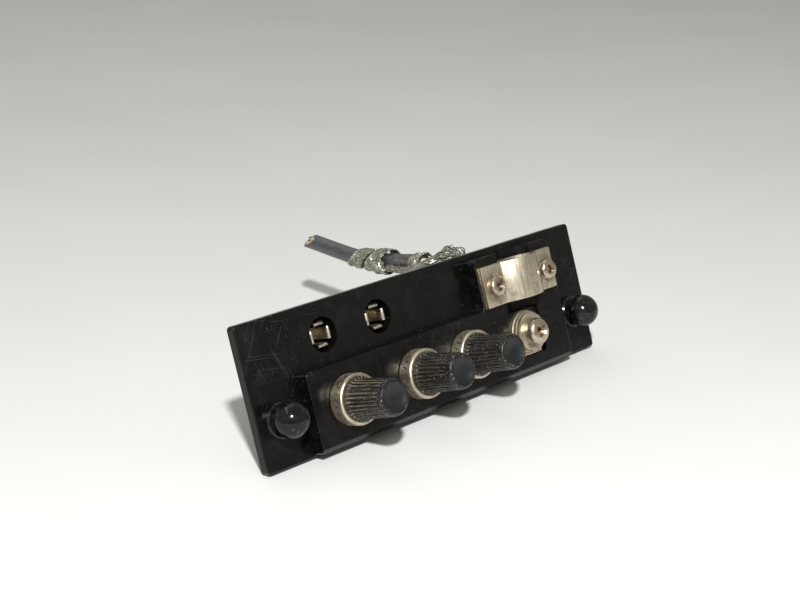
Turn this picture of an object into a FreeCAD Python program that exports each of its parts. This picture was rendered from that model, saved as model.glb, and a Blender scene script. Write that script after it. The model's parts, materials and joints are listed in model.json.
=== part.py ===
# Aerial terminal panel: three knurled binding posts, two pin sockets, a coax clamp with its earth
# screw terminal, two snap rivets and the stub of coax cable that is wired to the back.
# Millimetres. +X along the panel, -Y out of its front, +Z up. The origin is the centre of the
# flat back face of the flange, which seats on the chassis.
import FreeCAD, Part
import math
import os

from FreeCAD import Vector

# clearances
RUNNING = 0.06           # a shaft or thread that turns
SEATED = 0.05            # a fixed piece in its pocket
FREE = 0.15              # a moving face beside a fixed one
OVER = 1.0               # how far a cutting tool runs past the face it cuts

# moulded panel
FLANGE_L = 118.0
FLANGE_H = 35.0
FLANGE_T = 2.4
FLANGE_CORNER_R = 1.0
END_MARGIN = 13.8        # flange beyond the raised terminal platform at each end
BOTTOM_MARGIN = 0.5
TOP_MARGIN = 1.6         # above the taller block that carries the clamp
STEP_T = 4.2
STEP_CORNER_R = 3.0
STEP_SMALL_R = 0.8
STEP_BOTTOM_R = 1.2
EDGE_R = 0.35
REAR_GROW = 1.0          # locating boss for the chassis cut-out, beyond the platform's ends
REAR_MARGIN = 2.5        # and inside the flange above and below
REAR_T = 3.0
REAR_CORNER_R = 3.0

# binding posts
POST_NAMES = ("left", "middle", "right")
STUD_R = 2.0             # M4
STUD_FLAT = 0.35
STUD_TAIL = 1.6          # stud beyond its nut
STUD_ENGAGED = 6.6       # stud inside the cap's insert when closed
SHOULDER_AF = 5.6
SHOULDER_T = 1.6
COLLAR_R = 6.2
COLLAR_T = 4.1
COLLAR_CHAMFER = 0.3
COLLAR_SEAT_R = 5.0
COLLAR_DIMPLES = 24
DIMPLE_R = 0.5
DIMPLE_DEPTH = 0.3
CLAMP_WASHER_T = 0.6
CAP_BASE_R = 4.9
CAP_END_R = 4.45
CAP_L = 12.1
CAP_SMOOTH = 1.5         # plain band at the outer end
CAP_RIDGES = 30
CAP_GROOVE = 0.42
CAP_GROOVE_HALF = 0.25   # half the groove's width at the skin
CAP_END_ROUND = 0.7
CAP_RIM_R = 0.42
CAP_DISH_R = 3.5
CAP_DISH = 0.45
INSERT_R = 3.0
INSERT_L = 9.0

# pin sockets
SOCKET_NAMES = ("left", "right")
SOCKET_EDGE = 11.1       # first socket from the platform's end
SOCKET_PITCH = 17.9
SOCKET_R = 4.25
SOCKET_WALL = 1.55
SOCKET_TUBE_END = 11.0
CONTACT_LAND_R = 2.0     # takes a 4 mm pin
CONTACT_T = 0.4
CONTACT_BOW = 1.2        # the fingers bow in this far from their ring
CONTACT_RING_L = 3.0
CONTACT_RING_INSET = 1.0
CONTACT_FINGER_DEG = 66.0
CONTACT_RECESS = 2.0
CONTACT_LEAD_IN = 1.5
CONTACT_LAND_L = 2.0
CONTACT_FLARE = 0.45
CONTACT_TAIL = 6.0
CONTACT_TAIL_W = 2.4

# pan-head screws: shank radius, head radius, head height, recess half-length, shank length
M3 = {"r": 1.45, "head_r": 2.75, "head_h": 2.0, "recess": 1.5, "length": 10.0}
M4 = {"r": 1.95, "head_r": 3.5, "head_h": 2.6, "recess": 2.1, "length": 11.0}
CROWN = 1.06             # head's crown radius over that of a full dome
RECESS_W = 0.8
RECESS_DEPTH = 1.2

# coax clamp
CLAMP_H = 10.7
SADDLE_T = 0.9
ARCH_HALF = 6.85
ARCH_RISE = 3.6
ARCH_TO_HEAD = {"left": 0.8, "right": 0.1}
SADDLE_PAST_HEAD = {"left": 1.35, "right": 0.25}
SADDLE_IN_BLOCK = {"left": 0.2, "right": 1.9}
STRIP_PAST_SADDLE = {"left": 0.15, "right": 0.2}
STRIP_T = 0.7
STRIP_HOLE_GAP = 0.3
GROOVE_IN_ARCH = 0.65
GROOVE_DEPTH = 3.6
GROOVE_PAST_PLATE = 0.1
CLAMP_SCREW_DROP = 0.25
PIP_OFF = 3.3
PIP_R = 0.45

# earth terminal beside the clamp
TERM_OFF = 1.4           # left of the arch's middle
TERM_PLATE_R = 5.8
TERM_PLATE_T = 1.4
TERM_PLATE_TAB_W = 7.6
TERM_PLATE_TAB = 5.9
TERM_PLATE_EDGE_R = 0.25
TERM_POCKET_W = 12.6
TERM_POCKET_DEPTH = 0.8
TERM_POCKET_GAP = 0.4
CUP_WASHER_R = 5.5
CUP_WASHER_T = 0.9
FLAT_WASHER_R = 5.1
FLAT_WASHER_T = 0.8
SPRING_WASHER_R = 3.75
SPRING_WASHER_T = 1.0
SPRING_WASHER_SLOT = 0.5
SPRING_SLOT_DEG = 60.0

# snap rivets
RIVET_EDGE = 6.6         # from the flange's end
RIVET_UP = 0.4           # above the posts' line
DOME_R = 4.4
DOME_RIM = 0.4
RIVET_FLANGE_R = 4.3
RIVET_FLANGE_T = 1.4
RIVET_FLANGE_CHAMFER = 0.4
RIVET_SHANK_R = 3.0      # shoulder in the flange's hole
RIVET_LEG_R = 2.45
RIVET_LEG_L = 5.4
RIVET_LEG_TAPER_L = 0.8
RIVET_LEG_TAPER = 0.6
RIVET_SLOT = 0.9
RIVET_SLOT_START = 0.6
PLUNGER_R = 1.5
PLUNGER_OUT = 2.6        # gap under the dome when pulled out
PLUNGER_L = 10.9         # pin, from the dome's equator
PLUNGER_TIP = 0.5

# rear hardware
LUG_T = 0.6
LUG_R = 3.9
LUG_TAIL_W = 3.6
LUG_TAIL_IN = 0.6        # tail's root inside the eye
LUG_BEND = 4.9
LUG_REACH = 20.0
LUG_LIFT = 1.1
LUG_EYE_R = 0.9
LUG_EYE_IN = 2.2
LOCK_WASHER_R = 3.7
LOCK_WASHER_T = 0.7
LOCK_TEETH = 8
LOCK_NOTCH = 0.8
NUT_AF = 7.0
NUT_T = 2.4
NUT_FACE_GAP = 0.1       # the chamfer starts this far outside the flats
NUT_CHAMFER = 0.3
NUT_CHAMFER_R = 0.75
BUSH_WALL = 1.0          # staked brass bushes for the clamp and terminal screws
BUSH_LIP = 0.6
BUSH_LIP_T = 0.6
SMALL_LUG_R = 4.3
SMALL_LUG_TAIL = 8.0
SMALL_LUG_EYE_IN = 1.6

# what the pieces leave is shared between them in these parts
ROW_GAPS = (4.8, 10.2, 5.8, 10.1)        # platform end, posts, terminal
SOCKET_COLUMN_GAPS = (4.1, 3.0, 2.65, 3.85)   # platform foot, posts, step, sockets, flange top
CLAMP_COLUMN_GAPS = (4.2, 3.5, 2.4)      # platform foot, terminal, clamp, block top

# coax stub: route of its axis, chosen by hand
CABLE_ROUTE = [
    (21.3, 17.5, 16.8),
    (21.1, 27.0, 17.9),
    (21.4, 36.0, 19.3),
    (21.2, 43.5, 20.9),
    (21.3, 51.0, 23.6),
    (21.0, 59.0, 26.9),
    (21.2, 67.5, 30.0),
]
JACKET_R = 2.25
JACKET_WALL = 0.55
SHIELD_T = 0.3
CONDUCTOR_R = 0.35
CUT_CENTRE = (21.2, 62.5, 28.1)
CUT_SLOPE_DEG = -16.6      # about X
CUT_ROLL_DEG = -33.0       # about Y: the cut faces up and to the left
WRAP_MAIN_R = 4.0
WRAP_MAIN_Y = (29.4, 45.8)
WRAP_SMALL_R = 3.05
WRAP_SMALL_Y = (17.6, 22.6)
CORE_ROUTE = [
    (21.3, 17.5, 16.8),
    (21.38, 13.7, 16.36),
    (22.4, 11.2, 13.6),
    (24.2, 10.0, 9.6),
    (26.4, 9.2, 4.4),
    (28.4, 9.0, -1.0),
]
CORE_R = 1.1
PIGTAIL_ROUTE = [
    (20.2, 5.2, 14.6),
    (19.0, 7.6, 17.0),
    (18.3, 11.4, 17.4),
    (17.2, 15.6, 16.0),
    (17.0, 20.4, 15.6),
    (17.4, 25.6, 16.6),
    (18.0, 28.9, 17.1),
]
PIGTAIL_R = 0.95


def spread(start, end, gaps, widths):
    """Centres of pieces set between start and end; the gaps share what the pieces leave."""
    share = (end - start - sum(widths)) / sum(gaps)
    centres = []
    at = start
    for gap, width in zip(gaps, widths):
        at += gap * share
        centres.append(at + width / 2)
        at += width
    return centres


# levels and lengths that follow from the sizes above
PANEL_FRONT = -FLANGE_T
STEP_FRONT = -FLANGE_T - STEP_T
STEP_L = FLANGE_L - 2 * END_MARGIN
REAR_L = STEP_L + 2 * REAR_GROW
REAR_H = FLANGE_H - 2 * REAR_MARGIN
STEP_BOTTOM_Z = -FLANGE_H / 2 + BOTTOM_MARGIN
STEP_HIGH_TOP_Z = FLANGE_H / 2 - TOP_MARGIN
SOCKET_TUBE_R = SOCKET_R + SOCKET_WALL
CONTACT_RING_R = CONTACT_LAND_R + CONTACT_BOW
GROOVE_HALF = ARCH_HALF - GROOVE_IN_ARCH
Y_AXIS = Vector(0, 1, 0)

# places along the panel, from the platform's right end inwards
SADDLE_RIGHT = STEP_L / 2 - SADDLE_IN_BLOCK["right"]
SCREW_RIGHT = SADDLE_RIGHT - SADDLE_PAST_HEAD["right"] - M3["head_r"]
CLAMP_X = SCREW_RIGHT - M3["head_r"] - ARCH_TO_HEAD["right"] - ARCH_HALF
SCREW_LEFT = CLAMP_X - ARCH_HALF - ARCH_TO_HEAD["left"] - M3["head_r"]
SADDLE_LEFT = SCREW_LEFT - M3["head_r"] - SADDLE_PAST_HEAD["left"]
STEP_HIGH_X = SADDLE_LEFT - SADDLE_IN_BLOCK["left"]
SADDLE_X = (SADDLE_LEFT, SADDLE_RIGHT)
STRIP_X = (SADDLE_LEFT - STRIP_PAST_SADDLE["left"], SADDLE_RIGHT + STRIP_PAST_SADDLE["right"])
CLAMP_SCREW_X = {"left": SCREW_LEFT, "right": SCREW_RIGHT}
PIP_X = CLAMP_X + PIP_OFF
TERM_X = CLAMP_X - TERM_OFF
POST_X = dict(zip(POST_NAMES, spread(-STEP_L / 2, TERM_X - TERM_POCKET_W / 2, ROW_GAPS,
                                     [2 * COLLAR_R] * len(POST_NAMES))))
SOCKET_X = {name: -STEP_L / 2 + SOCKET_EDGE + i * SOCKET_PITCH for i, name in enumerate(SOCKET_NAMES)}
RIVET_X = {"left": -FLANGE_L / 2 + RIVET_EDGE, "right": FLANGE_L / 2 - RIVET_EDGE}

# heights
POST_Z, STEP_LOW_TOP_Z, SOCKET_Z = spread(
    STEP_BOTTOM_Z, FLANGE_H / 2, SOCKET_COLUMN_GAPS, [2 * COLLAR_R, 0, 2 * SOCKET_R])
TERM_BELOW = TERM_PLATE_TAB + TERM_POCKET_GAP
TERM_MIDDLE_Z, CLAMP_Z = spread(
    STEP_BOTTOM_Z, STEP_HIGH_TOP_Z, CLAMP_COLUMN_GAPS, [TERM_BELOW + TERM_PLATE_R, CLAMP_H])
TERM_Z = TERM_MIDDLE_Z + (TERM_BELOW - TERM_PLATE_R) / 2
GROOVE_END_Z = TERM_Z + TERM_PLATE_R + GROOVE_PAST_PLATE
CLAMP_SCREW_Z = CLAMP_Z - CLAMP_SCREW_DROP
RIVET_Z = POST_Z + RIVET_UP


# ---- shapes ----


def cylinder(r, y0, y1, x, z):
    return Part.makeCylinder(r, y1 - y0, Vector(x, y0, z), Y_AXIS)


def ring(r_out, r_in, y0, y1, x, z):
    return cylinder(r_out, y0, y1, x, z).cut(cylinder(r_in, y0 - OVER, y1 + OVER, x, z))


def block(x0, x1, y0, y1, z0, z1):
    return Part.makeBox(x1 - x0, y1 - y0, z1 - z0, Vector(x0, y0, z0))


def turned(profile, x, z):
    """A solid of revolution about a line along Y; profile is a list of (radius, y)."""
    points = [Vector(x + r, y, z) for r, y in profile]
    wire = Part.makePolygon(points + points[:1])
    return Part.Face(wire).revolve(Vector(x, 0, z), Y_AXIS, 360)


def rounded_prism(corners, y0, y1):
    """A prism along Y; corners is a list of (x, z, radius) going round the outline."""
    edges = []
    ends = []
    count = len(corners)
    for i, (x, z, r) in enumerate(corners):
        here = Vector(x, y0, z)
        before = Vector(corners[i - 1][0], y0, corners[i - 1][1])
        after = Vector(corners[(i + 1) % count][0], y0, corners[(i + 1) % count][1])
        u = (before - here).normalize()
        w = (after - here).normalize()
        half = u.getAngle(w) / 2
        start = here + u * (r / math.tan(half))
        end = here + w * (r / math.tan(half))
        if r > 0:
            middle = here + (u + w).normalize() * (r / math.sin(half) - r)
            edges.append(Part.Arc(start, middle, end).toShape())
        ends.append((start, end))
    for i in range(count):
        edges.append(Part.LineSegment(ends[i - 1][1], ends[i][0]).toShape())
    wire = Part.Wire(Part.__sortEdges__(edges))
    return Part.Face(wire).extrude(Vector(0, y1 - y0, 0))


def hexagon(across_flats, y0, y1, x, z):
    r = across_flats / math.sqrt(3)
    points = [
        Vector(x + r * math.cos(math.radians(60 * i)), y0, z + r * math.sin(math.radians(60 * i)))
        for i in range(7)
    ]
    return Part.Face(Part.makePolygon(points)).extrude(Vector(0, y1 - y0, 0))


def edges_at(shape, test):
    return [edge for edge in shape.Edges if test(edge.BoundBox)]


def route_wire(route):
    """Straight runs joined by tangent arcs, each arc as large as its two runs allow."""
    points = [Vector(*p) for p in route]
    edges = []
    last = points[0]
    for i in range(1, len(points) - 1):
        here = points[i]
        u = (points[i - 1] - here).normalize()
        w = (points[i + 1] - here).normalize()
        run = min((points[i - 1] - here).Length, (points[i + 1] - here).Length)
        half_turn = (math.pi - u.getAngle(w)) / 2
        radius = 0.45 * run / math.tan(half_turn)
        start = here + u * (0.45 * run)
        end = here + w * (0.45 * run)
        middle = here + (u + w).normalize() * (radius / math.cos(half_turn) - radius)
        edges.append(Part.LineSegment(last, start).toShape())
        edges.append(Part.Arc(start, middle, end).toShape())
        print("arc radius %.1f mm" % radius)
        last = end
    edges.append(Part.LineSegment(last, points[-1]).toShape())
    return Part.Wire(edges)


def swept(wire, r):
    start = wire.Vertexes[0].Point
    along = wire.Edges[0].tangentAt(wire.Edges[0].FirstParameter)
    section = Part.Wire(Part.makeCircle(r, start, along))
    return wire.makePipeShell([section], True, False)


def tube(wire, r_out, r_in):
    return swept(wire, r_out).cut(swept(wire, r_in))


# ---- moulded panel ----


def flange():
    half_l = FLANGE_L / 2
    half_h = FLANGE_H / 2
    r = FLANGE_CORNER_R
    corners = [(-half_l, -half_h, r), (half_l, -half_h, r), (half_l, half_h, r), (-half_l, half_h, r)]
    plate = rounded_prism(corners, PANEL_FRONT, 0)
    front = edges_at(plate, lambda b: b.YMax < PANEL_FRONT + 0.01)
    return plate.makeFillet(EDGE_R, front)


def platform():
    half = STEP_L / 2
    corners = [
        (-half, STEP_BOTTOM_Z, STEP_SMALL_R),
        (half, STEP_BOTTOM_Z, STEP_SMALL_R),
        (half, STEP_HIGH_TOP_Z, STEP_CORNER_R),
        (STEP_HIGH_X, STEP_HIGH_TOP_Z, STEP_SMALL_R),
        (STEP_HIGH_X, STEP_LOW_TOP_Z, STEP_SMALL_R),
        (-half, STEP_LOW_TOP_Z, STEP_SMALL_R),
    ]
    step = rounded_prism(corners, STEP_FRONT, PANEL_FRONT + EDGE_R)
    under = Part.makePolygon([
        Vector(-half, STEP_FRONT, STEP_BOTTOM_Z),
        Vector(-half, STEP_FRONT + STEP_BOTTOM_R, STEP_BOTTOM_Z),
        Vector(-half, STEP_FRONT, STEP_BOTTOM_Z + STEP_BOTTOM_R),
        Vector(-half, STEP_FRONT, STEP_BOTTOM_Z),
    ])
    step = step.cut(Part.Face(under).extrude(Vector(STEP_L, 0, 0)))
    front = edges_at(step, lambda b: b.YMax < STEP_FRONT + 0.01)
    return step.makeFillet(EDGE_R, front)


def bush_r(size):
    """Outer radius of a screw's bush, and of every hole that it stands in."""
    return size["r"] + RUNNING + BUSH_WALL


def groove_arc(half, depth):
    """Radius and centre distance in front of the platform of the coax groove."""
    radius = (half * half + depth * depth) / (2 * depth)
    return radius, radius - depth


def panel_moulding():
    half_l = REAR_L / 2
    half_h = REAR_H / 2
    r = REAR_CORNER_R
    rear = rounded_prism(
        [(-half_l, -half_h, r), (half_l, -half_h, r), (half_l, half_h, r), (-half_l, half_h, r)],
        -FLANGE_T / 2, REAR_T)
    body = flange().fuse([platform(), rear])
    for x in SOCKET_X.values():
        body = body.fuse(cylinder(SOCKET_TUBE_R, 0, SOCKET_TUBE_END, x, SOCKET_Z))
    cuts = []
    ring_front = SOCKET_TUBE_END - CONTACT_RING_INSET - CONTACT_RING_L
    for x in SOCKET_X.values():
        cuts.append(cylinder(SOCKET_R, PANEL_FRONT - OVER, ring_front, x, SOCKET_Z))
        cuts.append(cylinder(CONTACT_RING_R, ring_front, SOCKET_TUBE_END + OVER, x, SOCKET_Z))
    for x in POST_X.values():
        cuts.append(cylinder(STUD_R + SEATED, STEP_FRONT - OVER, REAR_T + OVER, x, POST_Z))
        side = SHOULDER_AF / 2 + SEATED
        cuts.append(block(x - side, x + side, STEP_FRONT - OVER, STEP_FRONT + SHOULDER_T,
                          POST_Z - side, POST_Z + side))
    for x in CLAMP_SCREW_X.values():
        cuts.append(cylinder(bush_r(M3), STEP_FRONT - OVER, REAR_T + OVER, x, CLAMP_SCREW_Z))
    cuts.append(cylinder(bush_r(M4), STEP_FRONT - OVER, REAR_T + OVER, TERM_X, TERM_Z))
    cuts.append(block(TERM_X - TERM_POCKET_W / 2, TERM_X + TERM_POCKET_W / 2, STEP_FRONT - OVER,
                      STEP_FRONT + TERM_POCKET_DEPTH, TERM_Z - TERM_BELOW, GROOVE_END_Z + OVER))
    radius, ahead = groove_arc(GROOVE_HALF, GROOVE_DEPTH)
    cuts.append(Part.makeCylinder(radius, STEP_HIGH_TOP_Z + OVER - GROOVE_END_Z,
                                  Vector(CLAMP_X, STEP_FRONT - ahead, GROOVE_END_Z)))
    for x in RIVET_X.values():
        cuts.append(cylinder(RIVET_SHANK_R + SEATED, PANEL_FRONT - OVER, OVER, x, RIVET_Z))
    return body.cut(cuts).removeSplitter()


# ---- binding posts ----


def post_collar(x):
    rear = STEP_FRONT
    front = STEP_FRONT - COLLAR_T
    c = COLLAR_CHAMFER
    seat = front + CLAMP_WASHER_T
    bore = STUD_R + SEATED
    body = turned([
        (bore, rear), (COLLAR_R - c, rear), (COLLAR_R, rear - c), (COLLAR_R, front + c),
        (COLLAR_R - c, front), (COLLAR_SEAT_R, front), (COLLAR_SEAT_R, seat), (bore, seat)], x, POST_Z)
    away = COLLAR_R + DIMPLE_R - DIMPLE_DEPTH
    dimples = []
    for i in range(COLLAR_DIMPLES):
        a = 2 * math.pi * i / COLLAR_DIMPLES
        at = Vector(x + away * math.cos(a), (rear + front) / 2, POST_Z + away * math.sin(a))
        dimples.append(Part.makeSphere(DIMPLE_R, at))
    return body.cut(dimples)


def stud_flat(x, y0, y1, gap):
    """What the flat takes off a stud, grown or shrunk by a gap."""
    edge = STUD_R - STUD_FLAT + gap
    return block(x - STUD_R - OVER, x + STUD_R + OVER, y0, y1, POST_Z + edge, POST_Z + STUD_R + OVER)


def post_stud(x):
    front = cap_base() - STUD_ENGAGED
    rear = REAR_T + LUG_T + LOCK_WASHER_T + NUT_T + STUD_TAIL
    rod = cylinder(STUD_R, front, rear, x, POST_Z)
    rod = rod.cut(stud_flat(x, front - OVER, cap_base() + CLAMP_WASHER_T, 0))
    half = SHOULDER_AF / 2
    shoulder = block(x - half, x + half, STEP_FRONT, STEP_FRONT + SHOULDER_T, POST_Z - half, POST_Z + half)
    return rod.fuse(shoulder)


def cap_base():
    """Where the closed cap meets the collar and the clamp washer."""
    return STEP_FRONT - COLLAR_T


def post_clamp_washer(x):
    y0 = cap_base()
    disc = cylinder(COLLAR_SEAT_R - FREE, y0, y0 + CLAMP_WASHER_T, x, POST_Z)
    hole = cylinder(STUD_R + RUNNING, y0 - OVER, y0 + CLAMP_WASHER_T + OVER, x, POST_Z)
    return disc.cut(hole.cut(stud_flat(x, y0 - OVER, y0 + CLAMP_WASHER_T + OVER, RUNNING)))


def post_cap(x):
    base = cap_base()
    end = base - CAP_L
    top = end + CAP_END_ROUND
    body = turned([
        (0, base), (CAP_BASE_R, base), (CAP_END_R, top), (CAP_END_R - CAP_END_ROUND, end), (0, end)],
        x, POST_Z)
    rim = edges_at(body, lambda b: b.YMax < top + 0.01 and b.YMin > top - 0.01 and b.XLength > CAP_END_R)
    body = body.makeFillet(CAP_RIM_R, rim)
    sphere_r = (CAP_DISH_R ** 2 + CAP_DISH ** 2) / (2 * CAP_DISH)
    dish = Part.makeSphere(sphere_r, Vector(x, end + CAP_DISH - sphere_r, POST_Z))
    bore = cylinder(INSERT_R, base - INSERT_L, base + OVER, x, POST_Z)
    slope = (CAP_BASE_R - CAP_END_R) / (base - top)
    run = base - end - CAP_SMOOTH
    outer = CAP_BASE_R + FREE
    half_w = CAP_GROOVE_HALF * (CAP_GROOVE + FREE) / CAP_GROOVE
    points = [Vector(x + CAP_BASE_R - CAP_GROOVE, base, POST_Z), Vector(x + outer, base, POST_Z - half_w),
              Vector(x + outer, base, POST_Z + half_w), Vector(x + CAP_BASE_R - CAP_GROOVE, base, POST_Z)]
    groove = Part.Face(Part.makePolygon(points)).extrude(Vector(-slope * run, -run, 0))
    grooves = []
    for i in range(CAP_RIDGES):
        turn = groove.copy()
        turn.rotate(Vector(x, 0, POST_Z), Y_AXIS, 360.0 * i / CAP_RIDGES)
        grooves.append(turn)
    return body.cut([bore, dish] + grooves)


def post_insert(x):
    return ring(INSERT_R, STUD_R + RUNNING, cap_base() - INSERT_L, cap_base(), x, POST_Z)


def tail_lug(x, z, hole_r):
    """Solder lug: an eye round a stud and a tail bent back from its lower edge."""
    y0 = REAR_T
    y1 = REAR_T + LUG_T
    eye = ring(LUG_R, hole_r, y0, y1, x, z)
    half = LUG_TAIL_W / 2
    inner = LUG_BEND - LUG_T
    outline = [
        (y0, z - LUG_R + LUG_TAIL_IN), (y0, z - LUG_BEND), (LUG_REACH, z - LUG_BEND + LUG_LIFT),
        (LUG_REACH, z - inner + LUG_LIFT), (y1, z - inner), (y1, z - LUG_R + LUG_TAIL_IN)]
    points = [Vector(x - half, y, height) for y, height in outline]
    tail = Part.Face(Part.makePolygon(points + points[:1])).extrude(Vector(LUG_TAIL_W, 0, 0))
    at = Vector(x, LUG_REACH - LUG_EYE_IN, z - LUG_BEND - OVER)
    return eye.fuse(tail).cut(Part.makeCylinder(LUG_EYE_R, LUG_LIFT + LUG_T + 2 * OVER, at))


def post_lock_washer(x):
    y0 = REAR_T + LUG_T
    body = ring(LOCK_WASHER_R, STUD_R + RUNNING, y0, y0 + LOCK_WASHER_T, x, POST_Z)
    notches = []
    for i in range(LOCK_TEETH):
        notch = block(x + LOCK_WASHER_R - LOCK_NOTCH, x + LOCK_WASHER_R + OVER, y0 - OVER,
                      y0 + LOCK_WASHER_T + OVER, POST_Z - LOCK_NOTCH / 2, POST_Z + LOCK_NOTCH / 2)
        notch.rotate(Vector(x, 0, POST_Z), Y_AXIS, 360.0 * (i + 0.5) / LOCK_TEETH)
        notches.append(notch)
    return body.cut(notches)


def post_nut(x):
    y0 = REAR_T + LUG_T + LOCK_WASHER_T
    nut = hexagon(NUT_AF, y0, y0 + NUT_T, x, POST_Z)
    face = NUT_AF / 2 + NUT_FACE_GAP
    far = face + NUT_CHAMFER_R
    chamfer = turned([
        (0, y0), (face, y0), (far, y0 + NUT_CHAMFER), (far, y0 + NUT_T - NUT_CHAMFER),
        (face, y0 + NUT_T), (0, y0 + NUT_T)], x, POST_Z)
    return nut.common(chamfer).cut(cylinder(STUD_R, y0 - OVER, y0 + NUT_T + OVER, x, POST_Z))


# ---- sockets ----


def socket_contact(x):
    """Four spring fingers that close on a pin, the ring that holds them and a solder tail."""
    ring_y0 = SOCKET_TUBE_END - CONTACT_RING_INSET - CONTACT_RING_L
    ring_y1 = ring_y0 + CONTACT_RING_L
    lip = PANEL_FRONT + CONTACT_RECESS
    land0 = lip + CONTACT_LEAD_IN
    land1 = land0 + CONTACT_LAND_L
    t = CONTACT_T
    out = CONTACT_RING_R
    flare = CONTACT_LAND_R + CONTACT_FLARE
    knee = land0 - CONTACT_LEAD_IN / 2
    root = ring_y0 + t
    inner = [(out - t, root), (CONTACT_LAND_R, land1), (CONTACT_LAND_R, land0), (flare, knee),
             (out - t, lip)]
    outer = [(out, lip), (flare + t, knee + t / 4), (CONTACT_LAND_R + t, land0 + t / 4),
             (CONTACT_LAND_R + t, land1 - t / 4), (out, root)]
    points = [Vector(x + r, y, SOCKET_Z) for r, y in inner + outer]
    face = Part.Face(Part.makePolygon(points + points[:1]))
    body = ring(out, out - t, ring_y0, ring_y1, x, SOCKET_Z)
    for i in range(4):
        finger = face.revolve(Vector(x, 0, SOCKET_Z), Y_AXIS, CONTACT_FINGER_DEG)
        finger.rotate(Vector(x, 0, SOCKET_Z), Y_AXIS, 90 * i - CONTACT_FINGER_DEG / 2)
        body = body.fuse(finger)
    half = CONTACT_TAIL_W / 2
    drop = math.sqrt(out ** 2 - half ** 2) - SEATED
    tail_end = ring_y1 + CONTACT_TAIL
    low = SOCKET_Z - drop
    tail = block(x - half, x + half, ring_y1 - t, tail_end, low, low + t)
    eye = Part.makeCylinder(half / 2, 2 * OVER, Vector(x, tail_end - half, low - OVER))
    return body.fuse(tail).cut(eye)


# ---- screws and bushes ----


def pan_screw(size, head_base, x, z):
    """A cross-recessed pan-head screw whose head stands in front of head_base."""
    crown_r = (size["head_r"] ** 2 + size["head_h"] ** 2) / (2 * size["head_h"]) * CROWN
    top = head_base - size["head_h"]
    head = cylinder(size["head_r"], top, head_base, x, z)
    head = head.common(Part.makeSphere(crown_r, Vector(x, top + crown_r, z)))
    body = head.fuse(cylinder(size["r"], head_base, head_base + size["length"], x, z))
    cuts = []
    for turn in (45, 135):
        arm = block(x - size["recess"], x + size["recess"], top - OVER, top + RECESS_DEPTH,
                    z - RECESS_W / 2, z + RECESS_W / 2)
        arm.rotate(Vector(x, 0, z), Y_AXIS, turn)
        cuts.append(arm)
    cuts.append(Part.makeCone(RECESS_W, RECESS_W / 8, RECESS_W + RECESS_DEPTH, Vector(x, top, z), Y_AXIS))
    return body.cut(cuts)


def bush(size, front, x, z):
    """A staked brass bush; its lip holds the lug behind the panel."""
    r_in = size["r"] + RUNNING
    r_out = bush_r(size)
    lip0 = REAR_T + LUG_T
    body = turned([
        (r_in, front), (r_out, front), (r_out, lip0), (r_out + BUSH_LIP, lip0),
        (r_out + BUSH_LIP, lip0 + BUSH_LIP_T), (r_in, lip0 + BUSH_LIP_T)], x, z)
    return body


def small_lug(size, x, z, turn):
    """A flat ring with a straight tail, turned about the screw's axis."""
    body = cylinder(SMALL_LUG_R, REAR_T, REAR_T + LUG_T, x, z)
    tail = block(x - LUG_TAIL_W / 2, x + LUG_TAIL_W / 2, REAR_T, REAR_T + LUG_T, z, z + SMALL_LUG_TAIL)
    front = REAR_T - OVER
    back = REAR_T + LUG_T + OVER
    eye = cylinder(LUG_EYE_R, front, back, x, z + SMALL_LUG_TAIL - SMALL_LUG_EYE_IN)
    body = body.fuse(tail).cut([cylinder(bush_r(size), front, back, x, z), eye])
    body.rotate(Vector(x, 0, z), Y_AXIS, turn)
    return body


# ---- coax clamp ----


def arch_band(half, rise, base, thickness, x0, x1, sign):
    """A strip with an arch or a trough in it; sign -1 bulges out of the front, +1 into it."""
    radius = (half * half + rise * rise) / (2 * rise)
    centre_y = base - sign * (radius - rise)
    z0 = CLAMP_Z - CLAMP_H / 2
    outer = Part.makeCylinder(radius, CLAMP_H, Vector(CLAMP_X, centre_y, z0))
    inner = Part.makeCylinder(radius - thickness, CLAMP_H + 2 * OVER, Vector(CLAMP_X, centre_y, z0 - OVER))
    if sign < 0:
        bulge = outer.common(block(CLAMP_X - half, CLAMP_X + half, base - rise - OVER, base + thickness,
                                   z0, z0 + CLAMP_H))
        flat = block(x0, x1, base, base + thickness, z0, z0 + CLAMP_H)
    else:
        bulge = outer.common(block(CLAMP_X - half, CLAMP_X + half, base - thickness, base + rise + OVER,
                                   z0, z0 + CLAMP_H))
        flat = block(x0, x1, base - thickness, base, z0, z0 + CLAMP_H)
    return flat.fuse(bulge).cut(inner).removeSplitter()


def saddle_front():
    return STEP_FRONT - STRIP_T - SADDLE_T


def clamp_base_strip():
    body = arch_band(GROOVE_HALF - SEATED, GROOVE_DEPTH - SEATED, STEP_FRONT, STRIP_T,
                     STRIP_X[0], STRIP_X[1], 1)
    front = STEP_FRONT - STRIP_T
    holes = [cylinder(M3["r"] + STRIP_HOLE_GAP, front - OVER, STEP_FRONT + OVER, x, CLAMP_SCREW_Z)
             for x in CLAMP_SCREW_X.values()]
    return body.cut(holes)


def clamp_saddle():
    body = arch_band(ARCH_HALF, ARCH_RISE, saddle_front(), SADDLE_T, SADDLE_X[0], SADDLE_X[1], -1)
    holes = [cylinder(M3["r"] + RUNNING, saddle_front() - OVER, STEP_FRONT + OVER, x, CLAMP_SCREW_Z)
             for x in CLAMP_SCREW_X.values()]
    radius = (ARCH_HALF ** 2 + ARCH_RISE ** 2) / (2 * ARCH_RISE)
    dx = PIP_X - CLAMP_X
    y = saddle_front() + radius - ARCH_RISE - math.sqrt(radius ** 2 - dx ** 2)
    pip = Part.makeSphere(PIP_R, Vector(PIP_X, y, CLAMP_SCREW_Z))
    return body.fuse(pip).cut(holes)


# ---- earth terminal ----


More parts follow.
